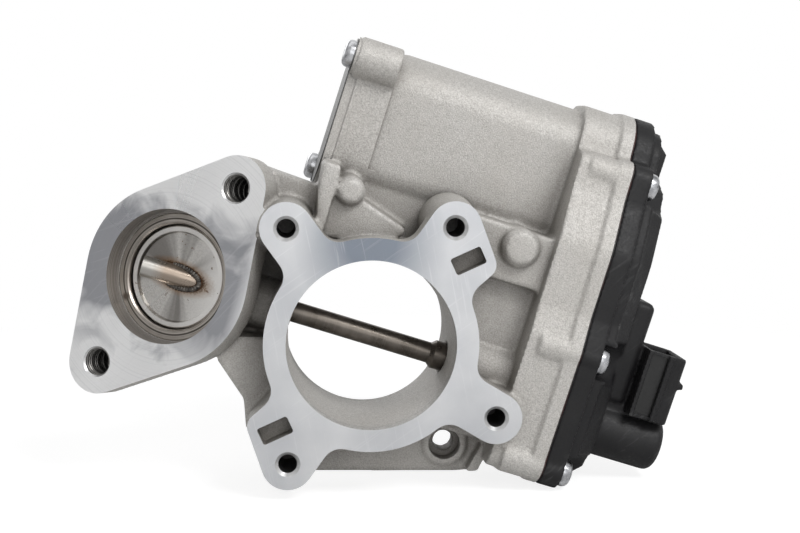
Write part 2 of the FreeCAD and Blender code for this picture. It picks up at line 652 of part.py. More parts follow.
def upper_idler():
    """Big wheel driven by the motor, with the small pinion of the second pair below it."""
    centre = upper_idler_axis()
    drive = heading((MOTOR_Y, MOTOR_Z), centre)
    wheel = involute_gear(FIRST_MODULE, FIRST_WHEEL, -PINION_SHIFT, wheel_tooth(drive, FIRST_WHEEL), FIRST_SPAN,
                          centre)
    wheel = lightened(wheel, FIRST_MODULE * FIRST_WHEEL / 2 - WHEEL_RIM, FIRST_SPAN, centre, PIN_R + 4.2)
    pinion = involute_gear(SECOND_MODULE, SECOND_PINION, PINION_SHIFT, heading(centre, lower_idler_axis()),
                           (SECOND_SPAN[0] + PINION_STEP, FIRST_SPAN[0] + PINION_STEP), centre)
    return bored(wheel.fuse(pinion), centre, SECOND_SPAN[0], FIRST_SPAN[1])


def lower_idler():
    """Wheel of the second pair, with the small pinion that drives the output gear."""
    centre = lower_idler_axis()
    drive = heading(upper_idler_axis(), centre)
    wheel = involute_gear(SECOND_MODULE, SECOND_WHEEL, -PINION_SHIFT, wheel_tooth(drive, SECOND_WHEEL), SECOND_SPAN,
                          centre)
    wheel = lightened(wheel, SECOND_MODULE * SECOND_WHEEL / 2 - WHEEL_RIM, SECOND_SPAN, centre, PIN_R + 5.6)
    pinion = involute_gear(THIRD_MODULE, THIRD_PINION, PINION_SHIFT, heading(centre, (SHAFT_Y, 0)),
                           (THIRD_SPAN[0] + PINION_STEP, SECOND_SPAN[0] + PINION_STEP), centre)
    return bored(wheel.fuse(pinion), centre, THIRD_SPAN[0], SECOND_SPAN[1])


def lightened(wheel, rim_r, span, centre, hub_r):
    """Shallow annular recess in the outer side of a moulded wheel."""
    recess = rod_x(rim_r, span[1] - WHEEL_RECESS, span[1] + 1, *centre).cut(rod_x(hub_r, span[0], span[1] + 2, *centre))
    return wheel.cut(recess)


def bored(shape, centre, start, end):
    return shape.cut(rod_x(PIN_R + PIN_GAP, start - 2, end + 2, *centre))


def idler_pin(centre, end):
    pin = rod_x(PIN_R, TRAY_BACK + PIN_FOOT, end, *centre)
    return pin.makeChamfer(0.3, [e for e in pin.Edges if abs(e.CenterOfMass.x - end) < 1e-3])


def output_gear():
    """Moulded sector on the shaft end, with a hub and a stop finger."""
    centre = (SHAFT_Y, 0.0)
    mesh = heading(lower_idler_axis(), centre)
    at = wheel_tooth(mesh, THIRD_WHEEL)
    facing = mesh + math.pi
    spare = math.radians(SECTOR_SPARE)
    arc = (facing - math.radians(TRAVEL) - spare, facing + spare)
    gear = involute_gear(THIRD_MODULE, THIRD_WHEEL, -PINION_SHIFT, at, THIRD_SPAN, centre, arc, OUTPUT_HUB_R)
    hub = rod_x(OUTPUT_CORE_R, THIRD_SPAN[0] - HUB_STEP, THIRD_SPAN[1] + 2 * PINION_STEP)
    return gear.fuse(hub).cut(rod_x(INSERT_R, THIRD_SPAN[0] - 2, THIRD_SPAN[1] + 2))


def gear_insert():
    ring = rod_x(INSERT_R, THIRD_SPAN[0] - HUB_STEP, SHAFT_END)
    return ring.cut(rod_x(SPIGOT_R, THIRD_SPAN[0] - 2, THIRD_SPAN[1] + 2))


def valve_shaft():
    """Shaft with its thin span across the duct, the journal and the gear spigot."""
    thin = rod_x(SHAFT_R, DISC_CENTRE_X - STUB_REACH, JOURNAL_START + 1)
    lead = cone_x(SHAFT_R, JOURNAL_R, JOURNAL_START, JOURNAL_START + JOURNAL_CHAMFER)
    journal = rod_x(JOURNAL_R, JOURNAL_START + JOURNAL_CHAMFER, JOURNAL_END)
    spigot = rod_x(SPIGOT_R, JOURNAL_END, SHAFT_END)
    shaft = thin.fuse([lead, journal, spigot]).removeSplitter()
    return shaft


def disc_blank():
    """Pressed disc with a rolled rim, coaxial with the port."""
    r = DISC_R
    t = DISC_THICKNESS / 2
    h = DISC_RIM_HEIGHT
    w = DISC_RIM_WIDTH
    edge = math.sqrt(r * r - (t + h) ** 2)
    profile = [(0, -t), (r - w, -t), (r - w + 0.5, -t - h), (edge - 0.4, -t - h), (edge, -t - h + 0.4),
               (r - 0.2, 0), (edge, t + 0.4), (edge - 0.6, t), (0, t)]
    points = [Vector(u, v, 0) for u, v in profile]
    face = Part.Face(Part.makePolygon(points + [points[0]]))
    return face.revolve(ORIGIN, Y_AXIS, 360)


def valve_disc():
    """Disc with the oblique cut that the shaft lies in."""
    disc = in_port_frame(disc_blank())
    return disc.cut(rod_x(SHAFT_R, DISC_CENTRE_X - STUB_REACH, DISC_CENTRE_X + 2 * DISC_R))


def disc_weld():
    """Weld bead round the shaft where it breaks through the front of the disc."""
    lean = math.radians(PORT_TURN)
    half_long = SHAFT_R / math.sin(lean)
    path_points = []
    for step in range(13):
        angle = math.radians(-112 + 224 * step / 12)
        u = half_long * math.cos(angle)
        v = SHAFT_R * math.sin(angle)
        path_points.append(Vector(u, -DISC_THICKNESS / 2, v))
    curve = Part.BSplineCurve()
    curve.interpolate(path_points)
    spine = Part.Wire([curve.toShape()])
    start = path_points[0]
    tangent = (path_points[1] - start).normalize()
    circle = Part.Wire([Part.makeCircle(WELD_BEAD_R, start, tangent)])
    bead = spine.makePipeShell([circle], True, True)
    bead = in_port_frame(bead)
    bead = bead.cut([rod_x(SHAFT_R, DISC_CENTRE_X - 2 * DISC_R, DISC_CENTRE_X + 2 * DISC_R), in_port_frame(disc_blank())])
    return largest_solid(bead)


def seat_ring():
    """Stainless seat pressed into the port, with a lead-in at its front edge."""
    ring = rod_y(SEAT_OUTER_R, -SEAT_AHEAD, SEAT_BEHIND, 0, 0).cut(rod_y(SEAT_INNER_R, -10, 10, 0, 0))
    between = math.pi * (SEAT_INNER_R + SEAT_OUTER_R)
    inner = [e for e in ring.Edges if abs(e.CenterOfMass.y + SEAT_AHEAD) < 1e-3 and e.Length < between]
    ring = ring.makeChamfer(0.5, inner)
    outer = [e for e in ring.Edges if abs(e.CenterOfMass.y + SEAT_AHEAD) < 1e-3 and e.Length > between]
    return in_port_frame(ring.makeChamfer(0.35, outer))


def shaft_bush():
    return rod_x(BUSH_OUTER_R, BUSH_START, BUSH_END).cut(rod_x(SHAFT_R + BUSH_RUNNING_GAP, BUSH_START - 1, BUSH_END + 1))


def shaft_bearing():
    """Drawn-cup needle bearing in the wall beside the gear tray."""
    cup = rod_x(BEARING_OUTER_R, BEARING_START, BEARING_END)
    cup = cup.cut(rod_x(JOURNAL_R + BUSH_RUNNING_GAP, BEARING_START - 1, BEARING_END + 1))
    outer = [e for e in cup.Edges if abs(e.Length - 2 * math.pi * BEARING_OUTER_R) < 1e-3]
    return cup.makeFillet(0.6, outer)


def shaft_seal():
    ring = rod_x(BEARING_OUTER_R, SHAFT_SEAL_START, SHAFT_SEAL_START + SHAFT_SEAL_WIDTH)
    hollow = rod_x(BEARING_OUTER_R - 1.5, SHAFT_SEAL_START - 1, SHAFT_SEAL_START + SHAFT_SEAL_WIDTH - 1.5)
    lip = rod_x(JOURNAL_R + 1.2, SHAFT_SEAL_START, SHAFT_SEAL_START + SHAFT_SEAL_WIDTH)
    shape = ring.cut(hollow).fuse(lip)
    return shape.cut(rod_x(JOURNAL_R + SHAFT_SEAL_GAP, SHAFT_SEAL_START - 1, SHAFT_SEAL_START + 10))


def return_spring():
    """Torsion spring round the bearing boss under the output gear: turns, and two straight legs."""
    turns = []
    for index in range(SPRING_TURNS):
        x = TRAY_FLOOR + SPRING_WIRE_R + SPRING_GAP + index * (2 * SPRING_WIRE_R + SPRING_GAP)
        turns.append(Part.makeTorus(SPRING_R, SPRING_WIRE_R, Vector(x, SHAFT_Y, 0), X_AXIS))
    return Part.makeCompound(turns)


def sensor_magnet():
    return rod_x(MAGNET_R, SHAFT_END, SHAFT_END + MAGNET_LENGTH)


def motor_can():
    """Steel can with two flats, closed at the gear end by its nose."""
    gap = MOTOR_CAN_CLEARANCE
    body = double_d(MOTOR_SHELL_R - MOTOR_WALL - gap, MOTOR_SHELL_FLAT - MOTOR_WALL - gap, MOTOR_BACK,
                    MOTOR_FRONT - 2.0, MOTOR_BLEND_R - 2)
    nose = rod_x(MOTOR_BOSS_R, MOTOR_FRONT - 2.5, TRAY_FLOOR, MOTOR_Y, MOTOR_Z)
    return body.fuse(nose).cut(rod_x(MOTOR_SHAFT_R + 0.06, MOTOR_BACK - 1, TRAY_FLOOR + 1, MOTOR_Y, MOTOR_Z))


def motor_end_bell():
    """Moulded brush holder that closes the back of the can."""
    gap = MOTOR_CAN_CLEARANCE
    disc = double_d(MOTOR_SHELL_R - MOTOR_WALL - gap, MOTOR_SHELL_FLAT - MOTOR_WALL - gap, MOTOR_BACK - MOTOR_BELL,
                    MOTOR_BACK, MOTOR_BLEND_R - 2)
    tower = rod_x(MOTOR_TOWER_R, MOTOR_BACK - MOTOR_BELL - MOTOR_TOWER, MOTOR_BACK - MOTOR_BELL, MOTOR_Y, MOTOR_Z)
    return disc.fuse(tower).cut(rod_x(MOTOR_SHAFT_R + 0.06, MOTOR_BACK - 6, MOTOR_BACK + 1, MOTOR_Y, MOTOR_Z))


def wave_washer():
    """Spring washer that holds the motor off the end plate."""
    start = COLLAR_START
    end = MOTOR_BACK - MOTOR_BELL - MOTOR_TOWER
    ring = rod_x(WASHER_OUTER_R, start, end, MOTOR_Y, MOTOR_Z)
    return ring.cut(rod_x(WASHER_INNER_R, start - 1, end + 1, MOTOR_Y, MOTOR_Z))


def motor_shaft():
    return rod_x(MOTOR_SHAFT_R, MOTOR_BACK - 5.5, FIRST_SPAN[1] + 0.8, MOTOR_Y, MOTOR_Z)


def end_plate():
    """Cast plate that closes the motor bore, with two ears for its screws."""
    r = MOTOR_SHELL_R
    plate = double_d(r, MOTOR_SHELL_FLAT, COLLAR_START - END_PLATE, COLLAR_START, MOTOR_BLEND_R)
    ears = [rod_x(END_LUG_R - 0.6, COLLAR_START - END_PLATE, COLLAR_START, y, z) for y, z in END_LUGS]
    plate = plate.fuse(ears).removeSplitter()
    holes = [rod_x(SCREW_SHANK_R + 0.3, COLLAR_START - END_PLATE - 1, COLLAR_START + 1, y, z) for y, z in END_LUGS]
    return plate.cut(holes)


def end_sheet():
    """Thin steel sheet under the two screw heads."""
    start = COLLAR_START - END_PLATE - END_SHEET
    sheet = double_d(MOTOR_SHELL_R - 1.2, MOTOR_SHELL_FLAT - 1.2, start, start + END_SHEET, MOTOR_BLEND_R)
    ears = [rod_x(END_LUG_R - 1.4, start, start + END_SHEET, y, z) for y, z in END_LUGS]
    holes = [rod_x(SCREW_SHANK_R + 0.3, start - 1, start + 2, y, z) for y, z in END_LUGS]
    return sheet.fuse(ears).removeSplitter().cut(holes)


def pan_screw(y, z, seat_x, outward, length):
    """Pan-head screw along the shaft direction, with a cross recess in the head."""
    profile = [(0, -length), (SCREW_SHANK_R, -length), (SCREW_SHANK_R, 0), (SCREW_HEAD_R, 0),
               (SCREW_HEAD_R, SCREW_HEAD_HEIGHT * 0.45), (SCREW_HEAD_R * 0.86, SCREW_HEAD_HEIGHT * 0.82),
               (SCREW_HEAD_R * 0.55, SCREW_HEAD_HEIGHT), (0, SCREW_HEAD_HEIGHT)]
    points = [Vector(v, u, 0) for u, v in profile]
    face = Part.Face(Part.makePolygon(points + [points[0]]))
    screw = face.revolve(ORIGIN, X_AXIS, 360)
    for turn in (0, 90):
        bar = Part.makeBox(2.2, 5.4, 0.9, Vector(SCREW_HEAD_HEIGHT - 1.7, -2.7, -0.45))
        bar.rotate(ORIGIN, X_AXIS, turn)
        screw = screw.cut(bar)
    if outward < 0:
        screw.rotate(ORIGIN, Vector(0, 0, 1), 180)
    screw.translate(Vector(seat_x, y, z))
    return screw


def end_screws():
    seat = COLLAR_START - END_PLATE - END_SHEET
    return Part.makeCompound([pan_screw(y, z, seat, -1, 14.0) for y, z in END_LUGS])


def cover_screws():
    seat = SPLIT + COVER_SEAL + COVER_FLANGE
    return Part.makeCompound([pan_screw(y, z, seat, 1, COVER_FLANGE + COVER_SEAL + 10) for y, z in COVER_SCREWS])


def cover_lugs(start, end):
    return [rod_x(COVER_LUG_R, start, end, y, z) for y, z in COVER_SCREWS]


def cover_seal():
    """Moulded rubber bead in the joint between tray and cover."""
    end = SPLIT + COVER_SEAL
    ring = slab_x(tray_outline(0.6), SPLIT, end)
    ring = ring.cut(slab_x(tray_outline(-TRAY_WALL + 0.8), SPLIT - 1, end + 1))
    ring = ring.fuse([rod_x(COVER_LUG_R - 0.7, SPLIT, end, y, z) for y, z in COVER_SCREWS])
    return ring.cut([rod_x(SCREW_SHANK_R + 0.2, SPLIT - 1, end + 1, y, z) for y, z in COVER_SCREWS]).removeSplitter()


def cover_dome():
    """Stepped dome of the cover: an upright step, then sides that lean in to the flat top."""
    flange_top = SPLIT + COVER_SEAL + COVER_FLANGE
    step_top = flange_top + COVER_STEP
    step = slab_x(tray_outline(-1.6), flange_top - 0.5, step_top)
    low = rounded_wire(tray_outline(-2.4), along_x, step_top)
    high = rounded_wire(tray_outline(-7.6), along_x, COVER_TOP)
    dome = Part.makeLoft([low, high], True, True)
    corner = [along_x(y, z, step_top) for y, z in COVER_CORNER + COVER_CORNER[:1]]
    dome = dome.cut(Part.Face(Part.makePolygon(corner)).extrude(Vector(COVER_TOP - step_top + 1, 0, 0)))
    return step.fuse(dome)


def gear_cover():
    """Moulded cover: flange with screw lugs, stepped dome, connector box, stem and socket."""
    start = SPLIT + COVER_SEAL
    flange_top = start + COVER_FLANGE
    flange = slab_x(tray_outline(RIM_PROUD), start, flange_top)
    cover = flange.fuse(cover_lugs(start, flange_top) + [cover_dome()])
    wells = [cone_x(SCREW_HEAD_R + 1.2, SCREW_HEAD_R + 4.6, flange_top, COVER_TOP + 1, y, z) for y, z in COVER_SCREWS]
    cover = cover.cut(wells)
    box = Part.makeBox(BOX_OUT - flange_top + 2, BOX_Y[1] - BOX_Y[0], BOX_Z[1] - BOX_Z[0],
                       Vector(flange_top - 2, BOX_Y[0], BOX_Z[0]))
    box = box.makeFillet(2.5, [e for e in box.Edges if e.CenterOfMass.x > flange_top - 1])
    stem = rod_x(STEM_R, flange_top - 2, STEM_OUT, *STEM_AT)
    stem = stem.makeFillet(3.0, [e for e in stem.Edges if abs(e.CenterOfMass.x - STEM_OUT) < 1e-3])
    socket = socket_block()
    cover = cover.fuse([box, stem, socket])
    room = slab_x(tray_outline(-TRAY_WALL), start - 1, flange_top - COVER_WALL)
    walls = [rod_x(COVER_LUG_R, start - 2, flange_top, y, z) for y, z in COVER_SCREWS]
    upper = slab_x(tray_outline(-7.6), flange_top - COVER_WALL - 1, flange_top + COVER_STEP - COVER_WALL)
    shade = [rod_x(SCREW_HEAD_R + 5.5, flange_top - 5, COVER_TOP, y, z) for y, z in COVER_SCREWS]
    cuts = [room.cut(walls), upper.cut(shade), socket_room()]
    cuts += [rod_x(SCREW_SHANK_R + 0.3, start - 1, flange_top + 1, y, z) for y, z in COVER_SCREWS]
    posts = [rod_x(BOARD_POST_R, BOARD_AT + BOARD_THICKNESS, COVER_TOP - COVER_WALL, y, z) for y, z in BOARD_POSTS]
    return largest_solid(cover.cut(cuts).fuse(posts))


def socket_corners(inset):
    x0, x1 = SOCKET_X[0] + inset, SOCKET_X[1] - inset
    y0, y1 = SOCKET_Y[0] + inset, SOCKET_Y[1] - inset
    r = max(2.6 - inset, 0.8)
    return [(x0, y0, r), (x1, y0, r), (x1, y1, r), (x0, y1, r)]


def slab_z(corners, start, end):
    """Rounded (x, y) outline extruded upwards across the shaft."""
    wire = rounded_wire(corners, lambda u, v, z: Vector(u, v, z), start)
    return Part.Face(wire).extrude(Vector(0, 0, end - start))


def socket_block():
    """Outer wall of the socket with the nose that holds the plug's latch."""
    reach, width, height = LATCH_NOSE
    nose = Part.makeBox(reach + 1, width, height, Vector(SOCKET_X[1] - 1, *LATCH_AT))
    return slab_z(socket_corners(0), SOCKET_Z[0], SOCKET_Z[1]).fuse(nose)


def socket_room():
    return slab_z(socket_corners(SOCKET_WALL), SOCKET_FLOOR, SOCKET_Z[1] + 1)


def terminals():
    """Five blade contacts standing in the socket."""
    pins = []
    x = (SOCKET_X[0] + SOCKET_X[1]) / 2
    middle = (SOCKET_Y[0] + SOCKET_Y[1]) / 2
    for index in range(5):
        y = middle + (index - 2) * 3.6
        half = TERMINAL_SIZE / 2
        pins.append(Part.makeBox(2 * half, 2 * half, TERMINAL_LENGTH, Vector(x - half, y - half, SOCKET_FLOOR)))
    return Part.makeCompound(pins)


def sensor_board():
    """Position sensor board inside the cover, facing the magnet."""
    return slab_x(BOARD_OUTLINE, BOARD_AT, BOARD_AT + BOARD_THICKNESS)


def finish(shape):
    turned_shape = shape.copy()
    turned_shape.rotate(ORIGIN, Y_AXIS, STANCE)
    return turned_shape


def nodes():
    upper = upper_idler_axis()
    lower = lower_idler_axis()
    return {
        "housing": housing(), "seat_ring": seat_ring(), "valve_disc": valve_disc(), "valve_shaft": valve_shaft(),
        "disc_weld": disc_weld(), "shaft_bush": shaft_bush(), "shaft_bearing": shaft_bearing(),
        "shaft_seal": shaft_seal(), "return_spring": return_spring(), "output_gear": output_gear(),
        "gear_insert": gear_insert(), "sensor_magnet": sensor_magnet(), "sensor_board": sensor_board(),
        "lower_idler_gear": lower_idler(), "lower_idler_pin": idler_pin(lower, SECOND_SPAN[1] + PIN_END_GAP),
        "upper_idler_gear": upper_idler(), "upper_idler_pin": idler_pin(upper, FIRST_SPAN[1] + PIN_END_GAP),
        "motor_pinion": motor_pinion(), "motor_shaft": motor_shaft(), "motor_can": motor_can(),
        "motor_end_bell": motor_end_bell(), "wave_washer": wave_washer(), "end_plate": end_plate(),
        "end_sheet": end_sheet(), "end_plate_screws": end_screws(), "gear_cover": gear_cover(),
        "cover_seal": cover_seal(), "cover_screws": cover_screws(), "connector_terminals": terminals(),
    }


os.makedirs("parts", exist_ok=True)
for name, shape in nodes().items():
    finish(shape).exportStep("parts/" + name + ".step")
    print(name, "solids", len(shape.Solids), "valid", shape.isValid(), "volume", round(shape.Volume))
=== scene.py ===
import bpy
import bmesh
import math
from mathutils import Matrix, Vector


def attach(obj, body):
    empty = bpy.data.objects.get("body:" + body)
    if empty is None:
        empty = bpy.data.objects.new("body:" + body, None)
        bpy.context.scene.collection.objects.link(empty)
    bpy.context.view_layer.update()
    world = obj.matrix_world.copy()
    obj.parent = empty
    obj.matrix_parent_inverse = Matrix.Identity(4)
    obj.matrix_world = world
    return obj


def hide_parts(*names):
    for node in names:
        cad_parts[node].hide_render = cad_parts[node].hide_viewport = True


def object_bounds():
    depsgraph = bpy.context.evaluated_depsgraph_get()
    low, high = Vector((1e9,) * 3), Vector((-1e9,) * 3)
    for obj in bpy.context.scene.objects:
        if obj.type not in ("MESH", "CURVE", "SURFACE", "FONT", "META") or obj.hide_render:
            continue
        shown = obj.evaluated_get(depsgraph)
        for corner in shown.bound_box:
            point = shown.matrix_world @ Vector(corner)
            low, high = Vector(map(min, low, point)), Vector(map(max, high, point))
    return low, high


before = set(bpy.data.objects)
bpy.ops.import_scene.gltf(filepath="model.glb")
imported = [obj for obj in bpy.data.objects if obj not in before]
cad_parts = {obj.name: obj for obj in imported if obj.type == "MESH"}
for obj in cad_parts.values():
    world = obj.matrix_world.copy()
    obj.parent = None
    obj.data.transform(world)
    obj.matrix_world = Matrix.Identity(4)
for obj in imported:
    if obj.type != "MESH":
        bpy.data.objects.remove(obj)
cad_box = [list(corner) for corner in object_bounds()]
scene = bpy.context.scene
scene.view_settings.view_transform = "Standard"


# Studio: a pale floor under the valve, a white surround and four soft lamps.
# The camera is where the photograph was taken from, a little above the face and to its left.
MM = 0.001
WHITE = (1, 1, 1, 1)
LAMP_AIM = Vector((0, 0, 0.03))
LAMPS = {
    "lamp_key": ((0.50, -0.66, 0.80), (0.45, 0.4), 7.8),
    "lamp_fill": ((0.20, -1.05, 0.32), (0.8, 0.6), 2.5),
    "lamp_back": ((-0.55, 1.05, 0.55), (0.8, 0.6), 2.6),
    "lamp_top": ((-0.10, 0.15, 1.0), (0.9, 0.6), 1.4),
}
WORLD_FILL = 0.27
FLOOR_HEIGHT = cad_box[0][2]
FLOOR_REACH = 6
FLOOR_GREY = (0.3, 0.3, 0.3, 1)
FLOOR_BOUNCE = (0.8, 0.8, 0.8, 1)
FLOOR_GLOW = 0.84
FLOOR_FADE = (0.16, 0.42)
CAMERA_PLACE = Vector((-27.15, -454.13, 79.57)) * MM
CAMERA_AHEAD = Vector((0.07966, 0.99007, -0.11580)).normalized()
CAMERA_RIGHT = Vector((0.99678, -0.08020, 0.0)).normalized()
CAMERA_LENS = 62.55


def new_material(name):
    """An empty node material, and its node tree."""
    material = bpy.data.materials.new(name)
    material.use_nodes = True
    material.node_tree.nodes.clear()
    return material, material.node_tree


def add_node(tree, kind, settings=None, **values):
    """A node with its settings, and its inputs set by name or number, or linked to another node's output."""
    node = tree.nodes.new(kind)
    for key, value in (settings or {}).items():
        setattr(node, key, value)
    for key, value in values.items():
        numbered = key.startswith("in") and key[2:].isdigit()
        socket = node.inputs[int(key[2:])] if numbered else node.inputs[key.replace("_", " ")]
        if isinstance(value, bpy.types.NodeSocket):
            tree.links.new(value, socket)
        else:
            socket.default_value = value
    return node


def noise(tree, vector, scale, detail, **more):
    """Noise from 0 to 1 over a vector."""
    node = add_node(tree, "ShaderNodeTexNoise", Vector=vector, Scale=scale, Detail=detail, **more)
    return node.outputs["Fac"]


def spread(tree, value, low, high, first, last):
    """Maps a value from one range to another, held at its ends."""
    levels = {"From_Min": low, "From_Max": high, "To_Min": first, "To_Max": last}
    return add_node(tree, "ShaderNodeMapRange", Value=value, **levels).outputs["Result"]


def light(tree, kind, colour, **values):
    """The output of a plain shader of one colour."""
    return add_node(tree, kind, Color=colour, **values).outputs[0]


def either(tree, mask, first, last):
    """The first shader where a mask is 0, and the last where it is 1."""
    return add_node(tree, "ShaderNodeMixShader", Fac=mask, in1=first, in2=last).outputs[0]


for name, (place, size, watts) in LAMPS.items():
    lamp_data = bpy.data.lights.new(name, "AREA")
    lamp_data.shape = "RECTANGLE"
    lamp_data.size, lamp_data.size_y = size
    lamp_data.energy = watts
    lamp = bpy.data.objects.new(name, lamp_data)
    lamp.location = place
    lamp.rotation_euler = (LAMP_AIM - Vector(place)).to_track_quat("-Z", "Y").to_euler()
    scene.collection.objects.link(lamp)

scene.world = bpy.data.worlds.new("studio")
scene.world.use_nodes = True
tree = scene.world.node_tree
tree.nodes.clear()
rays = add_node(tree, "ShaderNodeLightPath").outputs
bands = noise(tree, add_node(tree, "ShaderNodeTexCoord").outputs["Generated"], 1.6, 1.0)
mirrored = light(tree, "ShaderNodeBackground", WHITE, Strength=spread(tree, bands, 0.38, 0.62, 0.5, 1.0))
soft_fill = light(tree, "ShaderNodeBackground", WHITE, Strength=WORLD_FILL)
unseen = either(tree, rays["Is Glossy Ray"], soft_fill, mirrored)
seen = light(tree, "ShaderNodeBackground", WHITE, Strength=1.0)
add_node(tree, "ShaderNodeOutputWorld", Surface=either(tree, rays["Is Camera Ray"], unseen, seen))

floor_paper, tree = new_material("floor_paper")
rays = add_node(tree, "ShaderNodeLightPath").outputs
matt = light(tree, "ShaderNodeBsdfDiffuse", FLOOR_GREY)
glow = light(tree, "ShaderNodeEmission", WHITE, Strength=FLOOR_GLOW)
near = add_node(tree, "ShaderNodeAddShader", in0=matt, in1=glow).outputs[0]
far = light(tree, "ShaderNodeEmission", WHITE, Strength=1.0)
place = add_node(tree, "ShaderNodeTexCoord").outputs["Object"]
reach = add_node(tree, "ShaderNodeVectorMath", {"operation": "LENGTH"}, in0=place).outputs["Value"]
seen = either(tree, spread(tree, reach, *FLOOR_FADE, 0.0, 1.0), near, far)
unseen = light(tree, "ShaderNodeBsdfDiffuse", FLOOR_BOUNCE)
add_node(tree, "ShaderNodeOutputMaterial", Surface=either(tree, rays["Is Camera Ray"], unseen, seen))
floor_mesh = bpy.data.meshes.new("floor")
corners = [(FLOOR_REACH * x, FLOOR_REACH * y, FLOOR_HEIGHT) for x, y in ((-1, -1), (1, -1), (1, 1), (-1, 1))]
floor_mesh.from_pydata(corners, [], [(0, 1, 2, 3)])
floor_mesh.materials.append(floor_paper)
floor = bpy.data.objects.new("floor", floor_mesh)
scene.collection.objects.link(floor)

camera_data = bpy.data.cameras.new("camera")
camera_data.sensor_width = 36.0
camera_data.lens = CAMERA_LENS
camera_data.clip_start, camera_data.clip_end = 0.01, 30
camera = bpy.data.objects.new("camera", camera_data)
axes = Matrix((CAMERA_RIGHT, CAMERA_RIGHT.cross(CAMERA_AHEAD), -CAMERA_AHEAD)).transposed()
camera.matrix_world = Matrix.Translation(CAMERA_PLACE) @ axes.to_4x4()
scene.collection.objects.link(camera)
scene.camera = camera

# Die-cast housing: duct, gas port, motor shell and gear tray in one aluminium casting, blasted afterwards.
# The skin is the solid softened at every edge, with stock left on the milled planes;
# the mill, drill and boring cuts then take the stock off and leave crisp edges.
STANCE = math.radians(17.8)
PORT_TURN = math.radians(26.0)
DISC_CENTRE = (-67.7, 24.5, 0.0)
row_frame = Matrix.Identity(4)
shaft_frame = Matrix.Rotation(STANCE, 4, "Y")
disc_place = shaft_frame @ Matrix.Translation(Vector(DISC_CENTRE) * MM)
port_frame = disc_place @ Matrix.Rotation(-PORT_TURN, 4, "Z")
PORT_PLANE = -10.4
SEAT_PLANE = -3.8
REAR_PLANE = 50.0
REAR_RIM_R = 35.5
TRAY_PLANE = 69.0
COLLAR_PLANE = -30.0
STOCK = 2.5
OVERSHOOT = 5
ROUND_SIDES = 64
BORE_SIDES = 192
PORT_SIDES = 160
FACE_HOLES = [(-38.6, 28.8), (14.6, 45.8), (47.7, -11.3), (-14.7, -46.4)]
PORT_HOLES = [(15.57, 35.98), (-15.57, -35.98)]
DOWEL_POCKETS = [(22.1, 36.6), (-22.1, -36.6)]
POCKET_SIZE = (10.9, 6.0)
POCKET_CORNER = 0.9
POCKET_TURN = math.radians(41.8)
POCKET_DEPTH = 6
WEB_HOLE = (37.3, 10.0, -28.8)
MOTOR_AXIS = (48.0, 70.0)
SHELL_R = 27.5
SHELL_FLAT = 20.0
SHELL_ROUND = 12.0
COLLAR_EDGE = -17.2
COLLAR_CUT = 0.6
COLLAR_RUN_OUT = (4.0, 0.1)
COLLAR_CLEARANCE = 3.0
COLLAR_TURNS = range(20, 219, 3)
DARK_REFLECTION_SPOT = ((0, 0, 34), 8, 26)
PORT_SHEEN = (12 * MM, 27 * MM)
PORT_SHEEN_DRIFT = 8 * MM
PORT_RIM_HIGHLIGHT = (26.5 * MM, 30.5 * MM)
PARTING_HEIGHT = 5.5
PARTING_LINE = (0.12 * MM, 0.3 * MM)

# The mills run between two corners or over an outline. Drills, bores and the plugs that close the cast
# holes until then are a radius, a length and on wide bores the number of sides; countersinks have two radii.
FACE_MILL = ((-90, -30, -90), (150, 0, 90))
TRAY_MILL = ((TRAY_PLANE, -30, -60), (TRAY_PLANE + 20, 90, 120))
COLLAR_MILL = ((COLLAR_PLANE - STOCK - 1, 27.0, 41), (COLLAR_PLANE, 90, 120))
PORT_OUTLINE = [(-60, -60), (26, -60), (31.9, -8), (31.9, 8), (28.2, 24), (27.4, 60), (-60, 60)]
PORT_MILL_FRONT = -40
REAR_MILL = (36.2, 10)
AIR_BORE = (28.5, 10, BORE_SIDES)
REAR_BORE = (28.7, 12, BORE_SIDES)
REAR_BORE_START = 46
PORT_BORE = (22.8, OVERSHOOT + SEAT_PLANE - PORT_PLANE, PORT_SIDES)
SEAT_BORE = (21.85, 8.8, PORT_SIDES)
SEAT_BORE_START = SEAT_PLANE - 1
FACE_DRILL = (3.15, 25)
PORT_DRILL = (4.75, 22)
SINK_START = -1.0
FACE_SINK = (5.25, 3.15, 2.1)
PORT_SINK = (6.2, 4.7, 1.6)
WEB_DRILL = (3.55, 35.0)
WEB_BORE = (5.5, 16.6)
FACE_PLUG = (4.4, 24.0)
PORT_PLUG = (5.6, 20.0)
POCKET_PLUG = (3.6, 9.0)


def point_in(place, x, y, z):
    """A place in millimetres of a frame, as a matrix in the row frame."""
    return place @ Matrix.Translation(Vector((x, y, z)) * MM)


def add_rod(mesh, place, first_r, last_r, length, sides=ROUND_SIDES):
    """A closed cylinder or cone along the frame's y axis, from the frame's origin."""
    stand = place @ Matrix.Translation((0, length * MM / 2, 0)) @ Matrix.Rotation(-math.pi / 2, 4, "X")
    bmesh.ops.create_cone(mesh, cap_ends=True, segments=sides, radius1=first_r * MM, radius2=last_r * MM,
                          depth=length * MM, matrix=stand)


def add_drill(mesh, place, radius, length, sides=ROUND_SIDES):
    """A closed cylinder of one radius."""
    add_rod(mesh, place, radius, radius, length, sides)


def add_shell(mesh, rings):
    """A closed shell: faces between rings of points in a row, with a cap on the first and the last."""
    faces = [mesh.faces.new(rings[0]), mesh.faces.new(rings[-1])]
    for near, far in zip(rings, rings[1:]):
        for index in range(len(near)):
            following = (index + 1) % len(near)
            faces.append(mesh.faces.new((near[index], near[following], far[following], far[index])))
    bmesh.ops.recalc_face_normals(mesh, faces=faces)


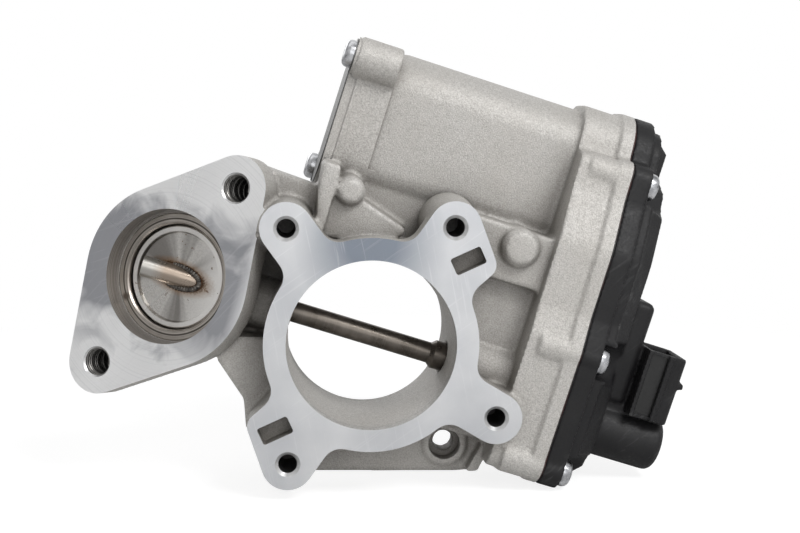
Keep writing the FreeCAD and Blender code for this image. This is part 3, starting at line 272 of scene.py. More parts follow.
def add_prism(mesh, place, outline, start, end):
    """A closed prism over an (x, z) outline of the frame, along its y axis."""
    add_shell(mesh, [[mesh.verts.new(place @ (Vector((x, depth, z)) * MM)) for x, z in outline]
                     for depth in (start, end)])


def add_block(mesh, place, low, high):
    """A block between two corners of the frame."""
    outline = [(low[0], low[2]), (high[0], low[2]), (high[0], high[2]), (low[0], high[2])]
    add_prism(mesh, place, outline, low[1], high[1])


def made_by(add, *shapes):
    """A new bmesh with one shape for each list of values."""
    mesh = bmesh.new()
    for values in shapes:
        add(mesh, *values)
    return mesh


def mesh_object(name, mesh, material=None):
    """A new object from a bmesh, which is freed."""
    data = bpy.data.meshes.new(name)
    mesh.to_mesh(data)
    mesh.free()
    if material:
        data.materials.append(material)
    made = bpy.data.objects.new(name, data)
    scene.collection.objects.link(made)
    return made


def settle(made):
    """Turns an object's modifiers into its mesh."""
    bpy.context.view_layer.update()
    graph = bpy.context.evaluated_depsgraph_get()
    data = bpy.data.meshes.new_from_object(made.evaluated_get(graph))
    made.modifiers.clear()
    made.data = data


def merged_copy(node):
    """The mesh of a CAD node with its loose triangles joined."""
    mesh = bmesh.new()
    mesh.from_mesh(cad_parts[node].data)
    bmesh.ops.remove_doubles(mesh, verts=mesh.verts, dist=0.001 * MM)
    return mesh


def soften(made, cell, keep):
    """Rounds every edge of a solid: a fine remesh, then smoothing, then thinning of its faces."""
    remesh = made.modifiers.new("remesh", "REMESH")
    remesh.mode = "VOXEL"
    remesh.voxel_size = cell * MM
    smooth = made.modifiers.new("smooth", "SMOOTH")
    smooth.factor = 0.5
    smooth.iterations = 2
    thin = made.modifiers.new("thin", "DECIMATE")
    thin.ratio = keep
    settle(made)


def carve(made, *cuts):
    """Takes each cutting shape out of a solid in turn; the cut faces get the material named with it."""
    cutters = [mesh_object("cutter", mesh, material) for mesh, material in cuts]
    for cutter in cutters:
        cut = made.modifiers.new("cut", "BOOLEAN")
        cut.operation = "DIFFERENCE"
        cut.solver = "EXACT"
        cut.material_mode = "TRANSFER"
        cut.object = cutter
    settle(made)
    for cutter in cutters:
        bpy.data.objects.remove(cutter)


def shade_smooth(made, limit=35.0):
    """Smooth shading, with sharp edges kept where faces meet at more than the limit."""
    made.data.polygons.foreach_set("use_smooth", [True] * len(made.data.polygons))
    made.data.set_sharp_from_angle(angle=math.radians(limit))


def leave_stock(mesh):
    """Moves the milled planes of the solid outwards, so that softening doesn't reach them."""
    planes = [(row_frame, 1, 0.0, -1), (row_frame, 1, REAR_PLANE, 1), (port_frame, 1, PORT_PLANE, -1),
              (shaft_frame, 0, TRAY_PLANE, 1), (shaft_frame, 0, COLLAR_PLANE, -1)]
    planes = [(place, place.inverted(), *rest) for place, *rest in planes]
    for vert in mesh.verts:
        for place, inverse, axis, level, side in planes:
            local = inverse @ vert.co / MM
            beside_rim = level == REAR_PLANE and math.hypot(local.x, local.z) >= REAR_RIM_R
            if abs(local[axis] - level) < 0.01 and not beside_rim:
                step = Vector((0, 0, 0))
                step[axis] = side * STOCK * MM
                vert.co += place.to_3x3() @ step
                break


def rounded_rectangle(size, corner, turn, centre, steps=5):
    """Outline points of a rounded rectangle, turned and moved, in (x, z)."""
    points = []
    for quarter, (sx, sz) in enumerate(((1, 1), (-1, 1), (-1, -1), (1, -1))):
        for step in range(steps + 1):
            angle = math.pi / 2 * (quarter + step / steps)
            x = sx * (size[0] / 2 - corner) + corner * math.cos(angle)
            z = sz * (size[1] / 2 - corner) + corner * math.sin(angle)
            points.append((centre[0] + x * math.cos(turn) - z * math.sin(turn),
                           centre[1] + x * math.sin(turn) + z * math.cos(turn)))
    return points


def shell_point(x, angle, grow):
    """A point round the motor's axis, at a distance outside the motor shell's outline."""
    across, up = abs(math.cos(angle)), abs(math.sin(angle))
    round_y = SHELL_FLAT - SHELL_ROUND
    round_z = math.sqrt((SHELL_R - SHELL_ROUND) ** 2 - round_y ** 2)
    if up * SHELL_FLAT < across * round_z:
        reach = SHELL_FLAT / across
    elif up * round_y > across * round_z:
        reach = SHELL_R
    else:
        towards = across * round_y + up * round_z
        reach = towards + math.sqrt(towards ** 2 - round_y ** 2 - round_z ** 2 + SHELL_ROUND ** 2)
    reach += grow
    y, z = MOTOR_AXIS[0] + reach * math.cos(angle), MOTOR_AXIS[1] + reach * math.sin(angle)
    return shaft_frame @ (Vector((x, y, z)) * MM)


def mask_group(name, inputs, outputs):
    """An empty node group, its inputs and its outputs: a Vector and some numbers in, and masks out."""
    group = bpy.data.node_groups.new(name, "ShaderNodeTree")
    group.interface.new_socket("Vector", in_out="INPUT", socket_type="NodeSocketVector")
    for label, start in inputs.items():
        group.interface.new_socket(label, in_out="INPUT", socket_type="NodeSocketFloat").default_value = start
    for label in outputs:
        group.interface.new_socket(label, in_out="OUTPUT", socket_type="NodeSocketFloat")
    return group, group.nodes.new("NodeGroupInput").outputs, group.nodes.new("NodeGroupOutput").inputs


def use_group(tree, group, **values):
    """The outputs of a node group placed in a material, with its own values."""
    return add_node(tree, "ShaderNodeGroup", {"node_tree": group}, **values).outputs


def calculate(tree, operation, first, second=0.0, third=0.0):
    """The result of one operation on up to three numbers."""
    settings = {"operation": operation}
    return add_node(tree, "ShaderNodeMath", settings, in0=first, in1=second, in2=third).outputs[0]


def stretched(tree, vector, factors):
    """A vector with each coordinate multiplied by its own factor."""
    node = add_node(tree, "ShaderNodeVectorMath", {"operation": "MULTIPLY"}, in0=vector, in1=factors)
    return node.outputs[0]


def length_of(tree, vector):
    """The length of a vector."""
    return add_node(tree, "ShaderNodeVectorMath", {"operation": "LENGTH"}, in0=vector).outputs["Value"]


def noise_along(tree, value, scale, detail):
    """Noise that changes along one number only, so that it draws lines or rings."""
    settings = {"noise_dimensions": "1D"}
    return add_node(tree, "ShaderNodeTexNoise", settings, W=value, Scale=scale, Detail=detail).outputs["Fac"]


def part_of(tree, vector, axis):
    """One coordinate of a place."""
    return add_node(tree, "ShaderNodeSeparateXYZ", Vector=vector).outputs[axis]


def place_on(tree):
    """Object coordinates."""
    return add_node(tree, "ShaderNodeTexCoord").outputs["Object"]


def place_in(tree, around):
    """Object coordinates as seen from a turned frame, so that a pattern follows that frame."""
    stand = {"Location": tuple(around.to_translation()), "Rotation": tuple(around.to_euler())}
    settings = {"vector_type": "TEXTURE"}
    return add_node(tree, "ShaderNodeMapping", settings, Vector=place_on(tree), **stand).outputs["Vector"]


def near_spot(tree, vector, centre, inner, outer):
    """Mask that is 1 within a distance of a spot and fades to 0 at another, in millimetres."""
    spot = tuple(Vector(centre) * MM)
    gap = add_node(tree, "ShaderNodeVectorMath", {"operation": "DISTANCE"}, in0=vector, in1=spot)
    return spread(tree, gap.outputs["Value"], inner * MM, outer * MM, 1, 0)


def two_tone(tree, mask, first, last):
    """Colour between two, by a mask."""
    colours = {"in6": (*first, 1), "in7": (*last, 1)}
    return add_node(tree, "ShaderNodeMix", {"data_type": "RGBA"}, in0=mask, **colours).outputs[2]


def tinted(tree, mask, base, tint):
    """A colour output, blended towards a fixed tint by a mask."""
    mix = add_node(tree, "ShaderNodeMix", {"data_type": "RGBA"}, in0=mask, in6=base, in7=(*tint, 1))
    return mix.outputs[2]


def shade(tree, colour, roughness, metallic, height, relief, strength, **settings):
    """The surface shader: relief is the height's depth in millimetres, and more settings are plain values."""
    bump = add_node(tree, "ShaderNodeBump", Height=height, Distance=relief * MM, Strength=strength)
    surface = add_node(tree, "ShaderNodeBsdfPrincipled", Base_Color=colour, Roughness=roughness,
                       Metallic=metallic, Normal=bump.outputs[0], **settings)
    add_node(tree, "ShaderNodeOutputMaterial", Surface=surface.outputs[0])


# The grain that blasting leaves in the skin: a fine tone from 0 to 1, the height of its relief,
# and the broad stains that oil and handling leave in it.
sand_grain, given, result = mask_group(
    "sand_grain", {"Grain": 2000.0, "Blotch": 45.0}, ("Tone", "Height", "Stain"))
fine = noise(sand_grain, given["Vector"], given["Grain"], 3.0, Roughness=0.6)
coarse = noise(sand_grain, given["Vector"], calculate(sand_grain, "MULTIPLY", given["Grain"], 0.35), 2.0)
blend = calculate(sand_grain, "MULTIPLY_ADD", coarse, 0.25, fine)
stains = noise(sand_grain, given["Vector"], given["Blotch"], 4.0)
sand_grain.links.new(spread(sand_grain, blend, 0.45, 0.80, 0.0, 1.0), result["Tone"])
sand_grain.links.new(blend, result["Height"])
sand_grain.links.new(spread(sand_grain, stains, 0.35, 0.68, 0.0, 1.0), result["Stain"])

# The hairlines that milling and handling leave on a bare face: thin scratches
# that run in two directions.
hairlines, given, result = mask_group("hairline_scratches", {"Fineness": 1200.0, "Turn": 0.6}, ("Lines",))
lines = []
for share, stretch in ((1.0, 0.02), (-2.3, 0.035)):
    angle = calculate(hairlines, "MULTIPLY", given["Turn"], share)
    settings = {"rotation_type": "Y_AXIS"}
    turned = add_node(hairlines, "ShaderNodeVectorRotate", settings, Vector=given["Vector"], Angle=angle)
    drawn = stretched(hairlines, turned.outputs[0], (stretch, 1.0, 1.0))
    field = noise(hairlines, drawn, given["Fineness"], 2.0)
    lines.append(spread(hairlines, field, 0.62, 0.72, 0.0, 1.0))
hairlines.links.new(calculate(hairlines, "MAXIMUM", *lines), result["Lines"])

# What the lathe leaves round the frame's y axis: fine rings, and rays of changing gloss.
# The distance from the axis comes with them, for marks at one radius.
lathe, given, result = mask_group(
    "lathe_marks", {"Fineness": 2500.0, "Rays": 2.5}, ("Rings", "Gloss", "Radius"))
flat = stretched(lathe, given["Vector"], (1.0, 0.0, 1.0))
radius = length_of(lathe, flat)
way = add_node(lathe, "ShaderNodeVectorMath", {"operation": "NORMALIZE"}, in0=flat).outputs[0]
lathe.links.new(noise_along(lathe, radius, given["Fineness"], 3.0), result["Rings"])
lathe.links.new(spread(lathe, noise(lathe, way, given["Rays"], 3.0), 0.36, 0.64, 0.0, 1.0), result["Gloss"])
lathe.links.new(radius, result["Radius"])

cast_skin, tree = new_material("cast_skin")
grain = use_group(tree, sand_grain, Vector=place_on(tree))
skin = two_tone(tree, grain["Tone"], (0.37, 0.356, 0.337), (0.57, 0.555, 0.53))
skin = tinted(tree, spread(tree, grain["Stain"], 0, 1, 0, 0.25), skin, (0.40, 0.375, 0.34))
local_rays = {"samples": 6, "only_local": True}
# Painted shade: the ambient occlusion darkens the skin's colour in hollows and between parts.
painted_hollow_shade = add_node(tree, "ShaderNodeAmbientOcclusion", local_rays, Distance=16 * MM).outputs["AO"]
skin = tinted(tree, spread(tree, painted_hollow_shade, 0.15, 0.9, 0.85, 0), skin, (0.10, 0.090, 0.077))
shade(tree, skin, spread(tree, grain["Tone"], 0, 1, 0.62, 0.48), 0.25, grain["Height"], 0.25, 0.7)

milled_face, tree = new_material("milled_face")
place = place_on(tree)
strokes = use_group(tree, hairlines, Vector=place)["Lines"]
clouds = noise(tree, place, 38.0, 5.0)
metal = two_tone(tree, spread(tree, clouds, 0.35, 0.65, 0, 1), (0.52, 0.53, 0.55), (0.62, 0.625, 0.635))
# Painted reflection: a dark bluish patch near the top of the face.
metal = tinted(tree, near_spot(tree, place, *DARK_REFLECTION_SPOT), metal, (0.21, 0.235, 0.275))
metal = tinted(tree, spread(tree, strokes, 0, 1, 0, 0.2), metal, (0.82, 0.82, 0.83))
shade(tree, metal, spread(tree, clouds, 0.3, 0.7, 0.36, 0.48), 0.8, strokes, 0.01, 0.4)

turned_face, tree = new_material("turned_port_face")
place = place_in(tree, port_frame)
marks = use_group(tree, lathe, Vector=place, Fineness=1500.0, Rays=1.3)
strokes = use_group(tree, hairlines, Vector=place, Turn=1.1)["Lines"]
patches = spread(tree, noise(tree, place, 62.0, 3.0, Distortion=1.4), 0.3, 0.7, -1, 1)
# Painted sheen: the face goes from grey to white above and below its middle, as a turned face reflects,
# drifting in patches.
from_middle = calculate(tree, "ABSOLUTE", part_of(tree, place, "Z"))
uneven = calculate(tree, "MULTIPLY_ADD", patches, PORT_SHEEN_DRIFT, from_middle)
mirrored = spread(tree, uneven, *PORT_SHEEN, 0, 1)
metal = two_tone(tree, mirrored, (0.40, 0.405, 0.43), (1.0, 1.0, 1.0))
# Painted highlight: the right edge of the face is painted nearly white.
port_rim_highlight = spread(tree, part_of(tree, place, "X"), *PORT_RIM_HIGHLIGHT, 0, 0.8)
metal = tinted(tree, port_rim_highlight, metal, (0.95, 0.95, 0.96))
metal = tinted(tree, spread(tree, strokes, 0, 1, 0, 0.14), metal, (0.85, 0.85, 0.87))
metal = tinted(tree, spread(tree, marks["Rings"], 0.5, 0.75, 0, 0.16), metal, (0.45, 0.46, 0.49))
shade(tree, metal, spread(tree, marks["Gloss"], 0, 1, 0.26, 0.38), 0.9, marks["Rings"], 0.02, 0.35)

bored_wall, tree = new_material("bored_wall")
lines = noise_along(tree, part_of(tree, place_in(tree, port_frame), "Y"), 2600.0, 2.0)
wall = two_tone(tree, spread(tree, lines, 0.35, 0.65, 0, 1), (0.20, 0.185, 0.17), (0.40, 0.38, 0.36))
shade(tree, wall, spread(tree, lines, 0.3, 0.7, 0.3, 0.5), 0.8, lines, 0.03, 0.6)

# Painted shade: the drilled walls are coloured nearly black, as the inside of the deep holes is shaded.
shaded_drilled_wall, tree = new_material("shaded_drilled_wall")
clouds = noise(tree, place_on(tree), 900.0, 2.0)
shade(tree, two_tone(tree, clouds, (0.03, 0.03, 0.03), (0.12, 0.115, 0.11)), 0.5, 0.7, clouds, 0.02, 0.4)

bright_edge, tree = new_material("countersunk_edge")
clouds = noise(tree, place_on(tree), 500.0, 3.0)
shade(tree, two_tone(tree, clouds, (0.42, 0.42, 0.42), (0.72, 0.72, 0.72)), 0.35, 0.9, clouds, 0.01, 0.3)

duct_wall, tree = new_material("duct_wall")
place = place_on(tree)
grain = use_group(tree, sand_grain, Vector=place, Grain=1100.0, Blotch=70.0)
skin = two_tone(tree, grain["Tone"], (0.31, 0.30, 0.285), (0.52, 0.51, 0.49))
skin = tinted(tree, spread(tree, grain["Stain"], 0, 1, 0, 0.3), skin, (0.30, 0.28, 0.26))
off_line = calculate(tree, "SUBTRACT", part_of(tree, place, "Z"), PARTING_HEIGHT * MM)
parting = spread(tree, calculate(tree, "ABSOLUTE", off_line), *PARTING_LINE, 0.75, 0)
right_half = spread(tree, part_of(tree, place, "X"), 0, MM, 0, 1)
skin = tinted(tree, calculate(tree, "MULTIPLY", parting, right_half), skin, (0.10, 0.095, 0.09))
shade(tree, skin, spread(tree, grain["Tone"], 0, 1, 0.6, 0.45), 0.3, grain["Height"], 0.2, 0.6)

casting_mesh = merged_copy("housing")
leave_stock(casting_mesh)
for around, depth, holes, plug in ((shaft_frame, 0, FACE_HOLES, FACE_PLUG),
                                   (port_frame, PORT_PLANE, PORT_HOLES, PORT_PLUG),
                                   (shaft_frame, 0, DOWEL_POCKETS, POCKET_PLUG)):
    for x, z in holes:
        add_drill(casting_mesh, point_in(around, x, depth - STOCK, z), *plug)
casting = mesh_object("casting", casting_mesh, cast_skin)
soften(casting, cell=0.78, keep=0.36)

web_place = point_in(shaft_frame, *WEB_HOLE)
web_drill = made_by(add_drill, (web_place, *WEB_DRILL))
web_bore = made_by(add_drill, (web_place, *WEB_BORE))
carve(casting, (web_drill, cast_skin), (web_bore, cast_skin))
face_mill = made_by(add_block, (row_frame, *FACE_MILL))
rear_mill = made_by(add_drill, (point_in(row_frame, 0, REAR_PLANE, 0), *REAR_MILL))
tray_mill = made_by(add_block, (shaft_frame, *TRAY_MILL), (shaft_frame, *COLLAR_MILL))
port_mill = made_by(add_prism, (port_frame, PORT_OUTLINE, PORT_MILL_FRONT, PORT_PLANE))
air_bore = made_by(add_drill, (point_in(row_frame, 0, -OVERSHOOT, 0), *AIR_BORE))
rear_bore = made_by(add_drill, (point_in(row_frame, 0, REAR_BORE_START, 0), *REAR_BORE))
port_bore = made_by(add_drill, (point_in(port_frame, 0, PORT_PLANE - OVERSHOOT, 0), *PORT_BORE))
seat_bore = made_by(add_drill, (point_in(port_frame, 0, SEAT_BORE_START, 0), *SEAT_BORE))
drills, sinks = bmesh.new(), bmesh.new()
for x, z in FACE_HOLES:
    add_drill(drills, point_in(shaft_frame, x, -OVERSHOOT, z), *FACE_DRILL)
    add_rod(sinks, point_in(shaft_frame, x, SINK_START, z), *FACE_SINK)
for x, z in PORT_HOLES:
    add_drill(drills, point_in(port_frame, x, PORT_PLANE - OVERSHOOT, z), *PORT_DRILL)
    add_rod(sinks, point_in(port_frame, x, PORT_PLANE + SINK_START, z), *PORT_SINK)
pockets = bmesh.new()
for centre in DOWEL_POCKETS:
    outline = rounded_rectangle(POCKET_SIZE, POCKET_CORNER, POCKET_TURN, centre)
    add_prism(pockets, shaft_frame, outline, -OVERSHOOT, POCKET_DEPTH)
undercut = bmesh.new()
profile = [(0, -COLLAR_CUT), COLLAR_RUN_OUT, (COLLAR_RUN_OUT[0], COLLAR_CLEARANCE), (0, COLLAR_CLEARANCE)]
add_shell(undercut, [[undercut.verts.new(shell_point(COLLAR_EDGE + x, math.radians(turn), grow))
                      for x, grow in profile] for turn in COLLAR_TURNS])
carve(casting, (face_mill, milled_face), (rear_mill, milled_face), (tray_mill, milled_face),
      (port_mill, turned_face), (air_bore, duct_wall), (rear_bore, duct_wall), (port_bore, bored_wall),
      (seat_bore, bored_wall), (sinks, bright_edge), (drills, shaded_drilled_wall), (pockets, cast_skin),
      (undercut, cast_skin))
shade_smooth(casting)
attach(casting, "base")
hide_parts("housing")

# Threads of the two port holes: cut with a coarse tap, twelve turns down from the countersink.
# One round ridge is wound down each hole, and stands in the mouth where the light catches it.
THREAD_START = 0.8
THREAD_SIZES = {"Radius": 4.72 * MM, "Ridge": 0.36 * MM, "Pitch": 1.25 * MM, "Turns": 12.0}


def geometry_tree(name, numbers, stood=True):
    """A geometry tree with named inputs for its sizes, and for the stand of the copies that it places."""
    tree = bpy.data.node_groups.new(name, "GeometryNodeTree")
    kinds = {"Geometry": "Geometry", **{label: "Float" for label in numbers}}
    kinds.update({"Stand": "Vector", "Finish": "Material"} if stood else {"Finish": "Material"})
    for label, kind in kinds.items():
        tree.interface.new_socket(label, in_out="INPUT", socket_type="NodeSocket" + kind)
    tree.interface.new_socket("Geometry", in_out="OUTPUT", socket_type="NodeSocketGeometry")
    return tree, tree.nodes.new("NodeGroupInput").outputs, tree.nodes.new("NodeGroupOutput").inputs


def finish_tree(tree, given, result, geometry):
    """Ends a tree: its copies made real and given their finish."""
    real = add_node(tree, "GeometryNodeRealizeInstances", Geometry=geometry).outputs[0]
    coat = add_node(tree, "GeometryNodeSetMaterial", Geometry=real, Material=given["Finish"]).outputs[0]
    tree.links.new(coat, result["Geometry"])


def stand_copies(tree, given, piece):
    """The piece at each given point, turned to its stand."""
    turn = add_node(tree, "FunctionNodeEulerToRotation", Euler=given["Stand"]).outputs[0]
    places = given["Geometry"]
    copies = add_node(tree, "GeometryNodeInstanceOnPoints", Points=places, Instance=piece, Rotation=turn)
    return copies.outputs[0]


def grow(name, points, tree, sizes, joined=False):
    """Runs a geometry tree on a few points or a line of points, and keeps the result as a plain mesh."""
    mesh = bmesh.new()
    verts = [mesh.verts.new(point) for point in points]
    if joined:
        for first, following in zip(verts, verts[1:]):
            mesh.edges.new((first, following))
    made = mesh_object(name, mesh)
    step = made.modifiers.new(name, "NODES")
    step.node_group = tree
    for socket in tree.interface.items_tree:
        if socket.in_out == "INPUT" and socket.name in sizes:
            step[socket.identifier] = sizes[socket.name]
    settle(made)
    shade_smooth(made)
    return made


def stand_along(around, turn, axis):
    """The turn of a copy whose own z axis follows one axis of a frame."""
    return tuple((around.to_3x3() @ Matrix.Rotation(turn, 3, axis)).to_euler())


thread_tree, given, result = geometry_tree("tapped_thread", ("Radius", "Ridge", "Pitch", "Turns"))
drop = calculate(thread_tree, "MULTIPLY", given["Pitch"], given["Turns"])
spiral = add_node(thread_tree, "GeometryNodeCurveSpiral", Resolution=36, Rotations=given["Turns"],
                  Start_Radius=given["Radius"], End_Radius=given["Radius"], Height=drop).outputs[0]
section = add_node(thread_tree, "GeometryNodeCurvePrimitiveCircle", Resolution=8, Radius=given["Ridge"])
ridge = add_node(thread_tree, "GeometryNodeCurveToMesh", Curve=spiral, Profile_Curve=section.outputs[0],
                 Fill_Caps=True)
finish_tree(thread_tree, given, result, stand_copies(thread_tree, given, ridge.outputs[0]))

tapped_thread, tree = new_material("tapped_thread")
place = place_in(tree, port_frame)
depth = calculate(tree, "SUBTRACT", part_of(tree, place, "Y"), PORT_PLANE * MM)
clouds = noise(tree, place, 700.0, 2.0)
# Painted shade: the thread's colour darkens the deeper it lies in the hole.
metal = two_tone(tree, spread(tree, depth, 0, 9 * MM, 0, 1), (0.34, 0.33, 0.315), (0.07, 0.068, 0.065))
metal = tinted(tree, spread(tree, clouds, 0.4, 0.7, 0, 0.5), metal, (0.12, 0.115, 0.11))
shade(tree, metal, spread(tree, clouds, 0.3, 0.7, 0.28, 0.45), 0.9, clouds, 0.02, 0.4)

port_stand = stand_along(port_frame, -math.pi / 2, "X")
starts = [point_in(port_frame, x, PORT_PLANE + THREAD_START, z).to_translation() for x, z in PORT_HOLES]
thread_fitting = {**THREAD_SIZES, "Stand": port_stand, "Finish": tapped_thread}
threads = grow("port_threads", starts, thread_tree, thread_fitting)
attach(threads, "base")


# Seat ring: turned from stainless steel bar and pressed into the port bore.
# Turning marks run round it, soot stains it brown, and one tack mark shows at its lower left.
RING_GROOVE_R = 19.9
TACK_MARK = (-15.8, SEAT_PLANE, -12.4)


def wear(material, *nodes):
    """Gives kept CAD nodes their finish."""
    for node in nodes:
        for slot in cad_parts[node].material_slots:
            slot.material = material


seat_finish, tree = new_material("turned_seat")
place = place_in(tree, port_frame)
marks = use_group(tree, lathe, Vector=place, Fineness=2200.0, Rays=2.0)
ringed = spread(tree, marks["Rings"], 0.35, 0.65, 0, 1)
steel = two_tone(tree, ringed, (0.22, 0.195, 0.17), (0.46, 0.42, 0.38))
# Painted sheen: the ring is paler in the rays where its turning marks are glossiest.
steel = tinted(tree, spread(tree, marks["Gloss"], 0, 1, 0, 0.4), steel, (0.60, 0.57, 0.53))
groove = calculate(tree, "ABSOLUTE", calculate(tree, "SUBTRACT", marks["Radius"], RING_GROOVE_R * MM))
steel = tinted(tree, spread(tree, groove, 0.15 * MM, 0.4 * MM, 0.85, 0), steel, (0.05, 0.045, 0.04))
steel = tinted(tree, near_spot(tree, place, TACK_MARK, 0.7, 1.8), steel, (0.12, 0.10, 0.085))
shade(tree, steel, spread(tree, marks["Rings"], 0.3, 0.7, 0.28, 0.45), 1.0, marks["Rings"], 0.04, 0.6)
wear(seat_finish, "seat_ring")

# Disc: pressed from stainless sheet, its rim rolled over, then brushed in sweeps, whose wedges of light are
# painted sheen in its colour.
# The welding heat has coloured it straw and brown beside the shaft, and small rust spots have settled on it.
DISC_RIM_HIGHLIGHT = (15.4 * MM, 16.0 * MM)
LIT_SIDE = (4 * MM, 14 * MM)
STRAW_RING = (4.3 * MM, 6.6 * MM)
BROWN_RING = (4.2 * MM, 5.0 * MM)
RAGGED_EDGE = 0.4 * MM
disc_finish, tree = new_material("brushed_disc")
place = place_in(tree, port_frame)
marks = use_group(tree, lathe, Vector=place, Fineness=1800.0, Rays=1.1)
speck = noise(tree, place, 1500.0, 3.0)
sheen_wedges = spread(tree, marks["Gloss"], 0.25, 0.75, 0, 1)
steel = two_tone(tree, sheen_wedges, (0.27, 0.255, 0.24), (0.66, 0.64, 0.61))
steel = tinted(tree, spread(tree, speck, 0.4, 0.7, 0, 0.3), steel, (0.20, 0.19, 0.18))
# Painted highlight on the rim, and the right side painted paler as if lit.
rim_highlight = spread(tree, marks["Radius"], *DISC_RIM_HIGHLIGHT, 0, 0.75)
steel = tinted(tree, rim_highlight, steel, (0.80, 0.78, 0.75))
lit_side = spread(tree, part_of(tree, place, "X"), *LIT_SIDE, 0, 0.85)
steel = tinted(tree, lit_side, steel, (0.90, 0.88, 0.85))
from_shaft = length_of(tree, stretched(tree, place, (math.sin(PORT_TURN), 0.0, 1.0)))
ragged = calculate(tree, "ADD", from_shaft, spread(tree, speck, 0.3, 0.7, -RAGGED_EDGE, RAGGED_EDGE))
steel = tinted(tree, spread(tree, ragged, *STRAW_RING, 0.75, 0), steel, (0.30, 0.17, 0.08))
steel = tinted(tree, spread(tree, ragged, *BROWN_RING, 0.85, 0), steel, (0.06, 0.035, 0.02))
spots = noise(tree, place, 520.0, 2.0)
steel = tinted(tree, spread(tree, spots, 0.69, 0.74, 0, 0.8), steel, (0.16, 0.09, 0.045))
shade(tree, steel, spread(tree, marks["Gloss"], 0, 1, 0.42, 0.26), 1.0, marks["Rings"], 0.03, 0.5)
wear(disc_finish, "valve_disc")

# Shaft: ground steel, run through both walls of the duct, darkened by years of hot gas.
# Its stub in front of the disc is wiped paler by the gas stream and straw coloured next to the weld.
STUB_END = -52.0
HEATED_REACH = (6.5, 10.5)
shaft_finish, tree = new_material("heat_dark_shaft")
place = place_in(tree, shaft_frame)
along = part_of(tree, place, "X")
rings = noise_along(tree, along, 2400.0, 3.0)
soot = noise(tree, place, 180.0, 5.0)
steel = two_tone(tree, spread(tree, soot, 0.35, 0.65, 0, 1), (0.085, 0.074, 0.063), (0.15, 0.133, 0.116))
steel = tinted(tree, spread(tree, rings, 0.5, 0.75, 0, 0.35), steel, (0.17, 0.155, 0.14))
stub = spread(tree, along, (STUB_END - 2) * MM, STUB_END * MM, 1, 0)
steel = tinted(tree, stub, steel, (0.40, 0.385, 0.36))
heated = calculate(tree, "MULTIPLY", near_spot(tree, place, DISC_CENTRE, *HEATED_REACH), 0.55)
steel = tinted(tree, heated, steel, (0.24, 0.15, 0.085))
shade(tree, steel, spread(tree, soot, 0.3, 0.7, 0.24, 0.4), 0.9, rings, 0.02, 0.4)
wear(shaft_finish, "valve_shaft")

# Weld: one arc bead round the shaft where it comes through the disc, laid by hand and left as welded.
# Its ripples lie across the run, and both ends are closed on the far side of the shaft.
SHAFT_R = 3.65
DISC_FRONT = -0.75
WELD_SWEEP = 112
WELD_STEPS = 24
WELD_SIZES = {"Bead": 1.0 * MM, "Ripples": 24.0, "Ripple Height": 0.09 * MM}
weld_tree, given, result = geometry_tree("weld_bead", WELD_SIZES, stood=False)
run = add_node(weld_tree, "GeometryNodeMeshToCurve", Mesh=given["Geometry"]).outputs[0]
even = add_node(weld_tree, "GeometryNodeResampleCurve", Curve=run, Count=260).outputs[0]
share = add_node(weld_tree, "GeometryNodeSplineParameter").outputs["Factor"]
phase = calculate(weld_tree, "MULTIPLY", calculate(weld_tree, "MULTIPLY", share, given["Ripples"]), math.tau)
wave = calculate(weld_tree, "MULTIPLY", calculate(weld_tree, "SINE", phase), given["Ripple Height"])
section = add_node(weld_tree, "GeometryNodeCurvePrimitiveCircle", Resolution=20, Radius=1.0).outputs[0]
bead = add_node(weld_tree, "GeometryNodeCurveToMesh", Curve=even, Profile_Curve=section, Fill_Caps=True,
                Scale=calculate(weld_tree, "ADD", wave, given["Bead"]))
finish_tree(weld_tree, given, result, bead.outputs[0])

weld_finish, tree = new_material("as_welded")
place = place_in(tree, port_frame)
scale = noise(tree, place, 650.0, 4.0)
steel = two_tone(tree, spread(tree, scale, 0.35, 0.65, 0, 1), (0.045, 0.041, 0.038), (0.17, 0.155, 0.14))
foot = spread(tree, part_of(tree, place, "Y"), -1.3 * MM, -0.8 * MM, 0, 0.75)
steel = tinted(tree, foot, steel, (0.30, 0.15, 0.06))
shade(tree, steel, spread(tree, scale, 0.3, 0.7, 0.3, 0.55), 0.9, scale, 0.08, 0.7)

weld_line = []
for step in range(2 * WELD_STEPS + 1):
    angle = math.radians(WELD_SWEEP * (step / WELD_STEPS - 1))
    reach = SHAFT_R / math.sin(PORT_TURN) * math.cos(angle)
    weld_line.append(point_in(port_frame, reach, DISC_FRONT, SHAFT_R * math.sin(angle)).to_translation())
weld = grow("weld_bead", weld_line, weld_tree, {**WELD_SIZES, "Finish": weld_finish}, joined=True)
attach(weld, "valve")
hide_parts("disc_weld")

# Running gear inside the duct walls: a sintered bush at the gas side, and a needle bearing with a lip seal
# at the gear side. All are pressed in unpainted, with the marks of sintering, grinding and moulding.
EVEN = (1.0, 1.0, 1.0)
ALONG_SHAFT = (0.03, 1.0, 1.0)
ROUND_SHAFT = (1.0, 0.05, 0.05)


def worked_metal(name, dark, pale, roughness, marks=EVEN, scale=900.0):
    """Metal with its working marks: noise in the shaft's frame, drawn out by three stretches."""
    material, tree = new_material(name)
    lines = noise(tree, stretched(tree, place_in(tree, shaft_frame), marks), scale, 4.0)
    metal = two_tone(tree, spread(tree, lines, 0.35, 0.65, 0, 1), dark, pale)
    gloss = spread(tree, lines, 0.3, 0.7, roughness * 0.8, roughness * 1.25)
    shade(tree, metal, gloss, 1.0, lines, 0.03, 0.5)
    return material


